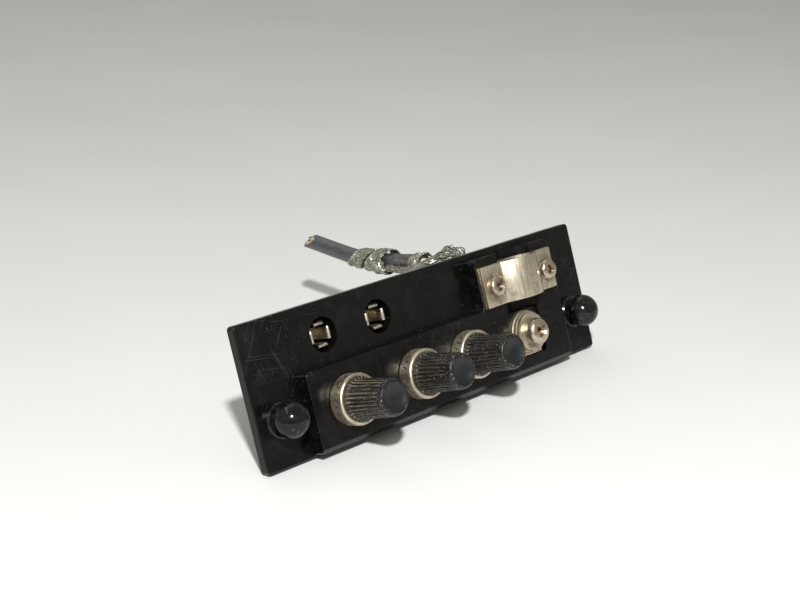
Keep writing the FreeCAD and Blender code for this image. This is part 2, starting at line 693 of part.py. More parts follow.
def terminal_levels():
    """The faces of the stack from the pocket floor to the screw's head."""
    floor = STEP_FRONT + TERM_POCKET_DEPTH
    plate = floor - TERM_PLATE_T
    cup = plate - CUP_WASHER_T
    flat = cup - FLAT_WASHER_T
    spring = flat - SPRING_WASHER_T
    return floor, plate, cup, flat, spring


def terminal_plate():
    floor, plate, _, _, _ = terminal_levels()
    half = TERM_PLATE_TAB_W / 2
    body = cylinder(TERM_PLATE_R, plate, floor, TERM_X, TERM_Z)
    body = body.fuse(block(TERM_X - half, TERM_X + half, plate, floor, TERM_Z - TERM_PLATE_TAB, TERM_Z))
    hole = cylinder(bush_r(M4), plate - OVER, floor + OVER, TERM_X, TERM_Z)
    front = edges_at(body, lambda b: b.YMax < plate + 0.01)
    return body.makeFillet(TERM_PLATE_EDGE_R, front).cut(hole)


def terminal_washer(r, y0, y1):
    return ring(r, M4["r"] + RUNNING, y0, y1, TERM_X, TERM_Z)


def terminal_spring_washer():
    _, _, _, flat, spring = terminal_levels()
    half = SPRING_WASHER_SLOT / 2
    slot = block(TERM_X - half, TERM_X + half, spring - OVER, flat + OVER,
                 TERM_Z, TERM_Z + SPRING_WASHER_R + OVER)
    slot.rotate(Vector(TERM_X, 0, TERM_Z), Y_AXIS, SPRING_SLOT_DEG)
    return terminal_washer(SPRING_WASHER_R, spring, flat).cut(slot)


# ---- snap rivets ----


def rivet_grommet(x):
    y0 = PANEL_FRONT - RIVET_FLANGE_T
    body = turned([
        (PLUNGER_R + RUNNING, y0), (RIVET_FLANGE_R - RIVET_FLANGE_CHAMFER, y0),
        (RIVET_FLANGE_R, y0 + RIVET_FLANGE_CHAMFER),
        (RIVET_FLANGE_R, PANEL_FRONT), (RIVET_SHANK_R, PANEL_FRONT), (RIVET_SHANK_R, 0),
        (RIVET_LEG_R, 0), (RIVET_LEG_R, RIVET_LEG_L - RIVET_LEG_TAPER_L),
        (RIVET_LEG_R - RIVET_LEG_TAPER, RIVET_LEG_L),
        (PLUNGER_R + RUNNING, RIVET_LEG_L)], x, RIVET_Z)
    half = RIVET_SLOT / 2
    slot = block(x - half, x + half, RIVET_SLOT_START, RIVET_LEG_L + OVER,
                 RIVET_Z - RIVET_LEG_R - OVER, RIVET_Z + RIVET_LEG_R + OVER)
    return body.cut(slot)


def rivet_plunger(x):
    under = PANEL_FRONT - RIVET_FLANGE_T - PLUNGER_OUT
    equator = under - DOME_RIM
    rim = cylinder(DOME_R, equator, under, x, RIVET_Z)
    dome = Part.makeSphere(DOME_R, Vector(x, equator, RIVET_Z))
    dome = dome.common(cylinder(DOME_R, equator - DOME_R, equator, x, RIVET_Z))
    pin_end = equator + PLUNGER_L
    pin = cylinder(PLUNGER_R, equator, pin_end, x, RIVET_Z)
    tip = Part.makeCone(PLUNGER_R, PLUNGER_R - PLUNGER_TIP, PLUNGER_TIP, Vector(x, pin_end, RIVET_Z), Y_AXIS)
    return rim.fuse([dome, pin, tip])


# ---- coax stub ----


def slab(y0, y1):
    return block(-FLANGE_L, FLANGE_L, y0, y1, -FLANGE_L, FLANGE_L)


def cut_end(shape):
    """The slanting cut across the free end."""
    side = 40.0
    knife = Part.makeBox(side, side, side, Vector(-side / 2, -side / 2, 0))
    knife.rotate(Vector(0, 0, 0), Vector(0, 1, 0), CUT_ROLL_DEG)
    knife.rotate(Vector(0, 0, 0), Vector(1, 0, 0), CUT_SLOPE_DEG)
    knife.translate(Vector(*CUT_CENTRE))
    return shape.cut(knife)


def cable_pieces():
    wire = route_wire(CABLE_ROUTE)
    shield_r = JACKET_R - JACKET_WALL
    core_r = shield_r - SHIELD_T
    jacket = swept(wire, JACKET_R)
    print("jacket volume over section times length %.4f"
          % (jacket.Volume / (math.pi * JACKET_R ** 2 * wire.Length)))
    return {
        "cable_jacket": cut_end(tube(wire, JACKET_R, shield_r)),
        "cable_shield": cut_end(tube(wire, shield_r, core_r)),
        "cable_dielectric": cut_end(tube(wire, core_r, CONDUCTOR_R)),
        "cable_conductor": cut_end(swept(wire, CONDUCTOR_R)),
        "braid_wrap_main": tube(wire, WRAP_MAIN_R, JACKET_R).common(slab(*WRAP_MAIN_Y)),
        "braid_wrap_small": tube(wire, WRAP_SMALL_R, JACKET_R).common(slab(*WRAP_SMALL_Y)),
        "core_lead": swept(route_wire(CORE_ROUTE), CORE_R),
        "braid_pigtail": swept(route_wire(PIGTAIL_ROUTE), PIGTAIL_R),
    }


def build():
    nodes = {"panel_moulding": panel_moulding()}
    for side, x in POST_X.items():
        post = "post_%s_" % side
        nodes[post + "collar"] = post_collar(x)
        nodes[post + "stud"] = post_stud(x)
        nodes[post + "clamp_washer"] = post_clamp_washer(x)
        nodes[post + "cap"] = post_cap(x)
        nodes[post + "insert"] = post_insert(x)
        nodes[post + "lug"] = tail_lug(x, POST_Z, STUD_R + RUNNING)
        nodes[post + "lock_washer"] = post_lock_washer(x)
        nodes[post + "nut"] = post_nut(x)
    for side, x in SOCKET_X.items():
        nodes["socket_%s_contact" % side] = socket_contact(x)
    nodes["clamp_base_strip"] = clamp_base_strip()
    nodes["clamp_saddle"] = clamp_saddle()
    for side, x in CLAMP_SCREW_X.items():
        nodes["clamp_screw_" + side] = pan_screw(M3, saddle_front(), x, CLAMP_SCREW_Z)
        nodes["clamp_bush_" + side] = bush(M3, STEP_FRONT, x, CLAMP_SCREW_Z)
    nodes["clamp_lug"] = small_lug(M3, CLAMP_SCREW_X["left"], CLAMP_SCREW_Z, 0)
    floor, plate, cup, flat, spring = terminal_levels()
    nodes["terminal_plate"] = terminal_plate()
    nodes["terminal_cup_washer"] = terminal_washer(CUP_WASHER_R, cup, plate)
    nodes["terminal_flat_washer"] = terminal_washer(FLAT_WASHER_R, flat, cup)
    nodes["terminal_spring_washer"] = terminal_spring_washer()
    nodes["terminal_screw"] = pan_screw(M4, spring, TERM_X, TERM_Z)
    nodes["terminal_bush"] = bush(M4, plate, TERM_X, TERM_Z)
    nodes["terminal_lug"] = small_lug(M4, TERM_X, TERM_Z, 0)
    for side, x in RIVET_X.items():
        nodes["rivet_%s_grommet" % side] = rivet_grommet(x)
        nodes["rivet_%s_plunger" % side] = rivet_plunger(x)
    nodes.update(cable_pieces())
    return nodes


os.makedirs("parts", exist_ok=True)
for name, shape in build().items():
    shape.exportStep("parts/%s.step" % name)
    print(name, shape.isValid(), len(shape.Solids), round(shape.Volume, 2))
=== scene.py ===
import json
import math
import random

import bmesh
import bpy
from mathutils import Matrix, Quaternion, Vector


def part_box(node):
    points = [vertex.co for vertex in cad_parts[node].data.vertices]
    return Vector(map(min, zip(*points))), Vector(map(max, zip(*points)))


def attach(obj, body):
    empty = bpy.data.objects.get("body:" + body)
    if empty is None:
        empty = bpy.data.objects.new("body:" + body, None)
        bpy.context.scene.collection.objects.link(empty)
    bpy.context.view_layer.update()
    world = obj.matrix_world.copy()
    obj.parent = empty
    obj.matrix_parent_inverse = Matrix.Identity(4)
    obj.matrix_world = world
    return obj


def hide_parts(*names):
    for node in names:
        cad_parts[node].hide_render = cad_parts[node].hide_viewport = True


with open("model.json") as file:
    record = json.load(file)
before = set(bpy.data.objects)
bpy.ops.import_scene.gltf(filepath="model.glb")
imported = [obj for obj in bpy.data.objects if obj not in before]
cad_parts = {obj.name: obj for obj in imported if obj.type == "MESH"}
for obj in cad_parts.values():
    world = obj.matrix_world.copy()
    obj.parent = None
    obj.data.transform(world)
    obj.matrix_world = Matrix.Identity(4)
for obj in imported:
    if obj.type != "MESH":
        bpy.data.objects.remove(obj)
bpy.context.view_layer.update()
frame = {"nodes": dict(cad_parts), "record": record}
mm = 0.001
weldDistance = 0.002 * mm
crispAngle = math.radians(50)
print("frame loaded:", len(frame["nodes"]), "nodes")

# camera, table and light

# the panel leans back on its rear lugs, so the table is tilted under the upright model
stageSet = {
    "camera": (-248.5, -271.8, 45.7),
    "aim": (-5.8, 0.0, 11.2),
    "roll": 13.28,
    "lens": 65.84,
    "sensor": 36.0,
    "clip": (0.01, 20.0),    # metres
    "tableEdge": (0.0, 0.0, -17.6),
    "tableLean": 19.0,
    "tableSize": 3.0,
    "flashUp": 150.0,
    "flashRight": 18.0,
    "flashBack": 1.6,        # times the camera's distance
    "flashSize": 40.0,
    "flashPower": 5.4,
    "flashColour": (0.98, 0.99, 1),
    "ceilingPlace": (150.0, 250.0, 1000.0),
    "ceilingSize": 900.0,
    "ceilingPower": 1.3,
    "ceilingColour": (1, 1, 1),
    "roomLevel": 0.37,
    "roomColour": (1.0, 0.96, 0.88, 1),
}


def makeCamera():
    lens = bpy.data.cameras.new("camera")
    lens.lens = stageSet["lens"]
    lens.sensor_width = stageSet["sensor"]
    lens.clip_start, lens.clip_end = stageSet["clip"]
    camera = bpy.data.objects.new("camera", lens)
    bpy.context.scene.collection.objects.link(camera)
    camera.rotation_mode = "QUATERNION"
    camera.location = Vector(stageSet["camera"]) * mm
    look = (Vector(stageSet["aim"]) * mm - camera.location).to_track_quat("-Z", "Y")
    camera.rotation_quaternion = look @ Quaternion((0, 0, 1), -math.radians(stageSet["roll"]))
    bpy.context.scene.camera = camera
    return camera


def makeAreaLight(name, place, size, power, colour):
    lamp = bpy.data.lights.new(name, "AREA")
    lamp.shape = "DISK"
    lamp.size = size
    lamp.energy = power
    lamp.color = colour
    light = bpy.data.objects.new(name, lamp)
    light.location = place
    light.rotation_mode = "QUATERNION"
    light.rotation_quaternion = (Vector(stageSet["aim"]) * mm - place).to_track_quat("-Z", "Y")
    bpy.context.scene.collection.objects.link(light)


def makeLights(camera):
    up = camera.rotation_quaternion @ Vector((0, 1, 0))
    right = camera.rotation_quaternion @ Vector((1, 0, 0))
    aim = Vector(stageSet["aim"]) * mm
    beside = camera.location + (up * stageSet["flashUp"] + right * stageSet["flashRight"]) * mm
    flash = aim + (beside - aim) * stageSet["flashBack"]
    ceiling = Vector(stageSet["ceilingPlace"]) * mm
    for name, place in (("flash", flash), ("ceiling", ceiling)):
        makeAreaLight(name, place, stageSet[name + "Size"] * mm, stageSet[name + "Power"],
                      stageSet[name + "Colour"])
    world = bpy.data.worlds.new("room")
    world.use_nodes = True
    background = world.node_tree.nodes["Background"]
    background.inputs["Color"].default_value = stageSet["roomColour"]
    background.inputs["Strength"].default_value = stageSet["roomLevel"]
    bpy.context.scene.world = world


bpy.context.scene.view_settings.view_transform = "Standard"
makeLights(makeCamera())
print("camera and lights placed")

# shared ways of making things


def hexToLinear(code):
    channels = [int(code[i:i + 2], 16) / 255 for i in (1, 3, 5)]
    linear = [c / 12.92 if c <= 0.04045 else ((c + 0.055) / 1.055) ** 2.4 for c in channels]
    return (*linear, 1.0)


def addNode(material, kind, inputs=None, **settings):
    node = material.node_tree.nodes.new("ShaderNode" + kind)
    for key, value in settings.items():
        setattr(node, key, value)
    for key, value in (inputs or {}).items():
        if isinstance(value, bpy.types.NodeSocket):
            material.node_tree.links.new(value, node.inputs[key])
        else:
            node.inputs[key].default_value = value
    return node


def newMaterial(name, **shader):
    material = bpy.data.materials.new(name)
    material.use_nodes = True
    surface = material.node_tree.nodes["Principled BSDF"]
    for key, value in shader.items():
        surface.inputs[key.replace("_", " ")].default_value = value
    return material, surface


def blotches(material, coords, size, low, high, detail=3.0, turn=0.0):
    # noise cut to a mask, 0 below low and 1 above high; the size is in millimetres, one or three
    sizes = [s * mm for s in (size if isinstance(size, tuple) else (size, size, size))]
    placed = addNode(material, "Mapping",
                     {"Vector": coords, "Rotation": (0, math.radians(turn), 0), "Scale": sizes},
                     vector_type="TEXTURE").outputs[0]
    noise = addNode(material, "TexNoise", {"Vector": placed, "Scale": 1.0, "Detail": detail})
    return addNode(material, "MapRange", {0: noise.outputs["Fac"], 1: low, 2: high}).outputs[0]


def layered(material, base, layers):
    # a base colour with more colours over it, each as (mask, colour, how much)
    colour = hexToLinear(base)
    for mask, code, amount in layers:
        share = addNode(material, "Math", {0: mask, 1: amount}, operation="MULTIPLY").outputs[0]
        colour = addNode(material, "Mix", {0: share, 6: colour, 7: hexToLinear(code)},
                         data_type="RGBA").outputs[2]
    return colour


def finishSurface(material, surface, colour, roughness=None, height=None, depth=0.02):
    # joins colour, roughness and bump to the shader; depth is the bump's, in millimetres
    links = material.node_tree.links
    links.new(colour, surface.inputs["Base Color"])
    if roughness:
        links.new(roughness, surface.inputs["Roughness"])
    if height:
        bump = addNode(material, "Bump", {"Height": height, "Distance": depth * mm, "Strength": 1.0})
        links.new(bump.outputs[0], surface.inputs["Normal"])
    return material


def newPiece(name, mesh, material, body, nodes=(), sharp=38):
    # an object from a bmesh, riding on a body and standing for CAD nodes; sharp is in degrees
    data = bpy.data.meshes.new(name)
    mesh.to_mesh(data)
    mesh.free()
    data.shade_smooth()
    data.set_sharp_from_angle(angle=math.radians(sharp))
    data.materials.append(material)
    piece = bpy.data.objects.new(name, data)
    bpy.context.scene.collection.objects.link(piece)
    if body:
        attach(piece, body)
    if nodes:
        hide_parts(*nodes)
    return piece


def centredBox(node):
    # a node's middle X and Z in metres, then its front, back and half width in millimetres
    low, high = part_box(node)
    x, z = (low[0] + high[0]) / 2, (low[2] + high[2]) / 2
    return x, z, low[1] / mm, high[1] / mm, (high[0] - low[0]) / 2 / mm


def tidyMesh(mesh):
    bmesh.ops.remove_doubles(mesh, verts=mesh.verts, dist=weldDistance)
    bmesh.ops.recalc_face_normals(mesh, faces=mesh.faces)


def roundedLine(points, radius, steps=3):
    # cuts each inner corner of a line of 2-D points with a short curve
    halfway = 0.45           # the most of a side that a curve takes up
    out = [Vector(points[0])]
    for before, corner, after in zip(points, points[1:], points[2:]):
        before, corner, after = Vector(before), Vector(corner), Vector(after)
        back, on = before - corner, after - corner
        first = corner + back.normalized() * min(radius, back.length * halfway)
        last = corner + on.normalized() * min(radius, on.length * halfway)
        for i in range(steps + 1):
            t = i / steps
            out.append(first * (1 - t) ** 2 + corner * 2 * t * (1 - t) + last * t * t)
    out.append(Vector(points[-1]))
    return out


def turnedMesh(profile, x, z, steps=72):
    # profile is (radius, y) in millimetres, turned about a line along Y
    mesh = bmesh.new()
    line = [mesh.verts.new((x + r * mm, y * mm, z)) for r, y in profile]
    edges = [mesh.edges.new(pair) for pair in zip(line, line[1:])]
    bmesh.ops.spin(mesh, geom=line + edges, cent=(x, 0, z), axis=(0, 1, 0), angle=2 * math.pi,
                   steps=steps, use_merge=True)
    tidyMesh(mesh)
    return mesh


def extrudedMesh(outline, z0, z1, soften):
    # outline is (x, y) in metres; the edges sharper than crispAngle get a small round
    mesh = bmesh.new()
    face = mesh.faces.new([mesh.verts.new((p[0], p[1], z0)) for p in outline])
    top = bmesh.ops.extrude_face_region(mesh, geom=[face])["geom"]
    topVerts = [v for v in top if isinstance(v, bmesh.types.BMVert)]
    bmesh.ops.translate(mesh, vec=(0, 0, z1 - z0), verts=topVerts)
    tidyMesh(mesh)
    crisp = [e for e in mesh.edges if e.calc_face_angle(0) > crispAngle]
    bmesh.ops.bevel(mesh, geom=crisp, offset=soften, offset_type="OFFSET", segments=2, profile=0.5,
                    affect="EDGES", material=-1, clamp_overlap=True)
    return mesh


def splineData(name, points):
    curve = bpy.data.curves.new(name, "CURVE")
    curve.dimensions = "3D"
    curve.resolution_u = 24
    spline = curve.splines.new("NURBS")
    spline.points.add(len(points) - 1)
    for slotPoint, p in zip(spline.points, points):
        slotPoint.co = (*(Vector(p) * mm), 1)
    spline.order_u = 3
    spline.use_endpoint_u = True
    return curve


def splinePoints(points):
    # the points along a route's own smooth spline
    curve = splineData("route", points)
    holder = bpy.data.objects.new("route", curve)
    line = bpy.data.meshes.new_from_object(holder)
    found = [v.co.copy() for v in line.vertices]
    bpy.data.objects.remove(holder)
    bpy.data.meshes.remove(line)
    bpy.data.curves.remove(curve)
    return found


def wiresMesh(paths, radius, corners=1, capped=True):
    # round wires or tubes along lists of points, as one bmesh
    curve = bpy.data.curves.new("wires", "CURVE")
    curve.dimensions = "3D"
    curve.bevel_depth = radius
    curve.bevel_resolution = corners
    curve.use_fill_caps = capped
    for path in paths:
        spline = curve.splines.new("POLY")
        spline.points.add(len(path) - 1)
        for slotPoint, p in zip(spline.points, path):
            slotPoint.co = (*p, 1)
    holder = bpy.data.objects.new("wires", curve)
    data = bpy.data.meshes.new_from_object(holder)
    mesh = bmesh.new()
    mesh.from_mesh(data)
    bpy.data.objects.remove(holder)
    bpy.data.meshes.remove(data)
    bpy.data.curves.remove(curve)
    return mesh


slotOf = {s["node"]: s["material_slot"] for s in frame["record"]["subparts"]}


# materials, each named for what the real one is


def mouldedPhenolic():
    # compression-moulded phenolic panel: near-black and glossy, with hairline scratches and pale dust
    m, surface = newMaterial("mouldedPhenolic", IOR=1.5, Specular_IOR_Level=0.26)
    coords = addNode(m, "TexCoord").outputs["Object"]
    haze = blotches(m, coords, 11, 0.4, 0.62)
    worn = blotches(m, coords, 19, 0.53, 0.62, detail=1.0)
    scuffs = None
    for turn, length, width in ((9, 12, 0.24), (68, 15, 0.24), (-57, 10, 0.22)):
        lines = blotches(m, coords, (length, 3, width), 0.665, 0.71, detail=1.0, turn=turn)
        if scuffs:
            lines = addNode(m, "Math", {0: scuffs, 1: lines}, operation="MAXIMUM").outputs[0]
        scuffs = lines
    scuffs = addNode(m, "Math", {0: scuffs, 1: worn}, operation="MULTIPLY").outputs[0]
    specks = blotches(m, coords, 0.5, 0.71, 0.76, detail=2.0)
    film = blotches(m, coords, 3.2, 0.5, 0.8)
    colour = layered(m, "#090909", [(film, "#2c2a27", 0.22), (scuffs, "#8d8a84", 0.09),
                                    (specks, "#8f887b", 0.3)])
    gloss = addNode(m, "MapRange", {0: haze, 3: 0.2, 4: 0.36}).outputs[0]
    gloss = addNode(m, "Mix", {0: scuffs, 2: gloss, 3: 0.38}).outputs[0]
    gloss = addNode(m, "Mix", {0: specks, 2: gloss, 3: 0.7}).outputs[0]
    ripple = addNode(m, "TexNoise", {"Vector": coords, "Scale": 1 / (7 * mm), "Detail": 1.0}).outputs["Fac"]
    return finishSurface(m, surface, colour, gloss, ripple, 0.05)


def dustyPhenolic():
    # moulded phenolic caps: satin black, handling dust packed in the flutes, a duller dished end
    m, surface = newMaterial("dustyPhenolic", IOR=1.5, Specular_IOR_Level=0.45)
    coords = addNode(m, "TexCoord").outputs["Object"]
    depth = addNode(m, "Attribute", attribute_name="groove").outputs["Fac"]
    groove = addNode(m, "MapRange", {0: depth, 1: 0.35, 2: 0.8}).outputs[0]
    face = addNode(m, "Attribute", attribute_name="face").outputs["Fac"]
    grime = addNode(m, "Attribute", attribute_name="grime").outputs["Fac"]
    patch = blotches(m, coords, (1.4, 5, 1.4), 0.3, 0.55)
    packed = addNode(m, "Math", {0: groove, 1: patch}, operation="MULTIPLY").outputs[0]
    packed = addNode(m, "Math", {0: packed, 1: grime}, operation="MULTIPLY", use_clamp=True).outputs[0]
    crumbs = blotches(m, coords, 0.42, 0.63, 0.68, detail=2.0)
    bare = addNode(m, "Math", {0: 1.0, 1: face}, operation="SUBTRACT").outputs[0]
    crumbs = addNode(m, "Math", {0: crumbs, 1: bare}, operation="MULTIPLY").outputs[0]
    bloom = blotches(m, coords, 2.2, 0.35, 0.75)
    colour = layered(m, "#0e0e0f", [(packed, "#8a7b62", 0.9), (crumbs, "#b9b0a2", 0.5),
                                    (face, "#121417", 0.9), (bloom, "#3a3a3a", 0.08)])
    gloss = addNode(m, "MapRange", {0: bloom, 3: 0.32, 4: 0.5}).outputs[0]
    gloss = addNode(m, "Mix", {0: packed, 2: gloss, 3: 0.85}).outputs[0]
    grit = addNode(m, "TexNoise", {"Vector": coords, "Scale": 1 / (0.35 * mm), "Detail": 3.0}).outputs["Fac"]
    return finishSurface(m, surface, colour, gloss, grit, 0.03)


def glossyNylon():
    # moulded nylon rivets: black with a tight highlight, a thin dust film and small rubs
    m, surface = newMaterial("glossyNylon", IOR=1.5, Specular_IOR_Level=0.35)
    coords = addNode(m, "TexCoord").outputs["Object"]
    film = blotches(m, coords, 2.4, 0.42, 0.7)
    rubs = blotches(m, coords, (0.3, 1.2, 2.4), 0.66, 0.7, detail=1.0, turn=25)
    colour = layered(m, "#0a0a0b", [(film, "#2b2926", 0.35), (rubs, "#77736c", 0.25)])
    gloss = addNode(m, "MapRange", {0: film, 3: 0.12, 4: 0.26}).outputs[0]
    skin = addNode(m, "TexNoise", {"Vector": coords, "Scale": 1 / (1.2 * mm), "Detail": 2.0}).outputs["Fac"]
    return finishSurface(m, surface, colour, gloss, skin, 0.03)


def plateMetal(name, base, bright, tarnish, rough, streak, rustAndShade=None, spread=0.56, stainsAndShade=()):
    # plated or plain metal: streaked by rolling or turning, tarnished in patches, and darkened in recesses as
    # painted shade with rusty patches over it;
    # # each brown mark is (x, z, reach, how much), in millimetres, and a z of 0 makes it a stripe, which is
    # painted shade with brown tarnish
    m, surface = newMaterial(name, Metallic=1.0)
    coords = addNode(m, "TexCoord").outputs["Object"]
    streaks = blotches(m, coords, streak, 0.35, 0.65, detail=4.0)
    dull = blotches(m, coords, 2.6, spread - 0.08, spread + 0.12, detail=5.0)
    pits = blotches(m, coords, 0.45, 0.66, 0.72, detail=2.0)
    layers = [(streaks, bright, 0.6), (dull, tarnish, 0.6), (pits, tarnish, 0.8)]
    for stainX, stainZ, reach, amount in stainsAndShade:
        kept = (1, 0, 1 if stainZ else 0)
        flat = addNode(m, "VectorMath", {0: coords, 1: kept}, operation="MULTIPLY").outputs[0]
        away = addNode(m, "VectorMath", {0: flat, 1: (stainX * mm, 0, stainZ * mm)},
                       operation="DISTANCE").outputs["Value"]
        ring = addNode(m, "MapRange", {0: away, 1: reach * mm, 2: reach * 0.45 * mm}).outputs[0]
        patchy = blotches(m, coords, 1.8, 0.3, 0.6)
        ring = addNode(m, "Math", {0: ring, 1: patchy}, operation="MULTIPLY").outputs[0]
        # brown stains round a point, and a stripe that is painted shade mixed with brown tarnish
        layers.append((ring, "#5c4729", amount))
    if rustAndShade:
        recess = addNode(m, "Attribute", attribute_name="recess").outputs["Fac"]
        stain = blotches(m, coords, 1.1, 0.42, 0.58, detail=5.0)
        eaten = addNode(m, "Math", {0: recess, 1: stain}, operation="MULTIPLY").outputs[0]
        # painted shade: the whole recess is darkened with the tarnish colour, with patchy rust laid over it
        layers += [(recess, tarnish, 0.85), (eaten, rustAndShade, 0.75)]
    colour = layered(m, base, layers)
    gloss = addNode(m, "MapRange", {0: streaks, 3: rough[0], 4: rough[1]}).outputs[0]
    gloss = addNode(m, "Mix", {0: dull, 2: gloss, 3: rough[1] + 0.12}).outputs[0]
    if rustAndShade:
        gloss = addNode(m, "Mix", {0: eaten, 2: gloss, 3: 0.8}).outputs[0]
    surfaceGrain = addNode(m, "Math", {0: streaks, 1: dull}, operation="SUBTRACT").outputs[0]
    return finishSurface(m, surface, colour, gloss, surfaceGrain, 0.02)


def pvcJacket():
    # extruded PVC: black satin skin lifted to grey all over as painted sheen, drawn along its length, with
    # grey dust that sticks to it
    m, surface = newMaterial("pvcJacket", IOR=1.53, Specular_IOR_Level=0.8)
    coords = addNode(m, "TexCoord").outputs["Object"]
    drawn = blotches(m, coords, (0.5, 9, 0.5), 0.35, 0.7, detail=3.0)
    dust = blotches(m, coords, (1.0, 2.2, 1.0), 0.5, 0.66, detail=4.0)
    place = addNode(m, "SeparateXYZ", {0: coords}).outputs["Y"]
    handled = addNode(m, "MapRange", {0: place, 1: 34 * mm, 2: 28 * mm}).outputs[0]
    dusty = addNode(m, "Math", {0: dust, 1: handled}, operation="MULTIPLY").outputs[0]
    crumbs = blotches(m, coords, 0.4, 0.67, 0.71, detail=2.0)
    # painted sheen: the base and the drawn streaks are greys in place of black
    colour = layered(m, "#333336", [(drawn, "#4c4c50", 0.7), (dusty, "#6f6d64", 0.55),
                                    (crumbs, "#8c877b", 0.4)])
    gloss = addNode(m, "MapRange", {0: drawn, 3: 0.3, 4: 0.42}).outputs[0]
    gloss = addNode(m, "Mix", {0: dusty, 2: gloss, 3: 0.7}).outputs[0]
    return finishSurface(m, surface, colour, gloss, drawn, 0.03)


def tinnedBraid():
    # fine tinned copper wires gone grey-green with age: bright only on the crowns
    m, surface = newMaterial("tinnedBraid", Metallic=0.75)
    coords = addNode(m, "TexCoord").outputs["Object"]
    crowns = blotches(m, coords, 1.3, 0.4, 0.62, detail=4.0)
    green = blotches(m, coords, 3.4, 0.4, 0.6, detail=3.0)
    colour = layered(m, "#8e8e80", [(green, "#65685c", 0.6), (crowns, "#cac8bb", 0.6)])
    gloss = addNode(m, "MapRange", {0: crowns, 3: 0.5, 4: 0.3}).outputs[0]
    grain = addNode(m, "TexNoise", {"Vector": coords, "Scale": 1 / (0.12 * mm), "Detail": 2.0}).outputs["Fac"]
    return finishSurface(m, surface, colour, gloss, grain, 0.02)


def agedPolythene():
    # polythene core and sleeve: waxy cream, yellowed and browned where flux and fingers reached it
    m, surface = newMaterial("agedPolythene", IOR=1.51)
    surface.inputs["Subsurface Weight"].default_value = 0.25
    surface.inputs["Subsurface Radius"].default_value = (0.002, 0.0014, 0.0008)
    surface.inputs["Subsurface Scale"].default_value = 0.5
    coords = addNode(m, "TexCoord").outputs["Object"]
    yellow = blotches(m, coords, 2.0, 0.4, 0.62, detail=4.0)
    brown = blotches(m, coords, 1.2, 0.58, 0.7, detail=4.0)
    colour = layered(m, "#e4dcc4", [(yellow, "#cdb98a", 0.7), (brown, "#8d7347", 0.6)])
    gloss = addNode(m, "MapRange", {0: yellow, 3: 0.34, 4: 0.5}).outputs[0]
    return finishSurface(m, surface, colour, gloss, yellow, 0.04)


def drawnCopper():
    # drawn copper wire end: pinkish brown with darker oxide spots
    m, surface = newMaterial("drawnCopper", Metallic=1.0)
    coords = addNode(m, "TexCoord").outputs["Object"]
    oxide = blotches(m, coords, 0.5, 0.45, 0.65)
    colour = layered(m, "#b87a56", [(oxide, "#6d4630", 0.6)])
    gloss = addNode(m, "MapRange", {0: oxide, 3: 0.3, 4: 0.5}).outputs[0]
    return finishSurface(m, surface, colour, gloss, oxide, 0.01)


def drawingPaper():
    # matt white drawing paper, faintly uneven; nothing is seen from under it
    m, surface = newMaterial("drawingPaper", Roughness=0.85)
    coords = addNode(m, "TexCoord").outputs["Object"]
    cockle = blotches(m, coords, 90, 0.3, 0.7)
    colour = layered(m, "#dededb", [(cockle, "#dadad8", 1.0)])
    finishSurface(m, surface, colour, None, cockle, 0.15)
    side = addNode(m, "NewGeometry").outputs["Backfacing"]
    clear = addNode(m, "BsdfTransparent").outputs[0]
    mix = addNode(m, "MixShader", {0: side, 1: surface.outputs[0], 2: clear})
    m.node_tree.links.new(mix.outputs[0], m.node_tree.nodes["Material Output"].inputs["Surface"])
    return m


# by the CAD model's material slots
finishes = {
    "phenolic_panel": mouldedPhenolic(),
    "phenolic_cap": dustyPhenolic(),
    "nylon_black": glossyNylon(),
    # nickel on turned brass: warm, pale, with brown tarnish, and painted shade with dark patches in the
    # dashes
    "nickel_collar": plateMetal("turnedNickel", "#bdb29c", "#e8e0cf", "#826f50", (0.34, 0.5), (3, 0.35, 3),
                                rustAndShade="#2a1f12"),
    # nickel on rolled strip: streaked across the clamp, browner by the screws, with a dark brown stripe of
    # painted shade and tarnish down the arch's right side
    "nickel_plate": plateMetal("rolledNickel", "#bfb59f", "#e4ddcc", "#7e6c4c", (0.38, 0.52), (0.35, 2, 7),
                               spread=0.6,
                               stainsAndShade=((20.2, 7.9, 5.2, 0.8), (40.3, 7.9, 5.0, 0.7), (36.0, 0, 1.9, 0.9))),
    # nickel on steel screws: bright crowns, painted shade and rust in the cross
    "nickel_screw": plateMetal("screwNickel", "#beb19d", "#e0d6c6", "#5d4630", (0.16, 0.34), (0.7, 0.7, 0.7),
                               rustAndShade="#8a4c1e"),
    "zinc_steel": plateMetal("zincPlate", "#a6a392", "#c8c4b4", "#6d6653", (0.28, 0.44), (1.2, 1.2, 1.2)),
    "brass_turned": plateMetal("turnedBrass", "#a88a50", "#cdb077", "#5f4a26", (0.26, 0.4), (3, 0.35, 3)),
    "tinned_lug": plateMetal("hotTin", "#a5a49c", "#c9c8c0", "#75705f", (0.32, 0.5), (1.6, 2.5, 1.6)),
    "silver_contact": plateMetal("silverPlate", "#d3cbb8", "#f2ecdf", "#b7a179", (0.18, 0.34), (0.5, 3, 0.5),
                                 spread=0.62),
    "pvc_jacket": pvcJacket(),
    "tinned_braid": tinnedBraid(),
    "polythene": agedPolythene(),
    "copper_wire": drawnCopper(),
}
for name, node in frame["nodes"].items():
    node.data.materials.clear()
    node.data.materials.append(finishes[slotOf[name]])
print("materials made:", len(finishes))


def makeTable():
    mesh = bmesh.new()
    bmesh.ops.create_grid(mesh, x_segments=1, y_segments=1, size=stageSet["tableSize"] / 2)
    lean = Matrix.Rotation(math.radians(stageSet["tableLean"]), 4, "X")
    edge = Matrix.Translation(Vector(stageSet["tableEdge"]) * mm)
    bmesh.ops.transform(mesh, matrix=edge @ lean, verts=mesh.verts)
    newPiece("table", mesh, drawingPaper(), None)


makeTable()

# coax stub, cut on a slant at its far end

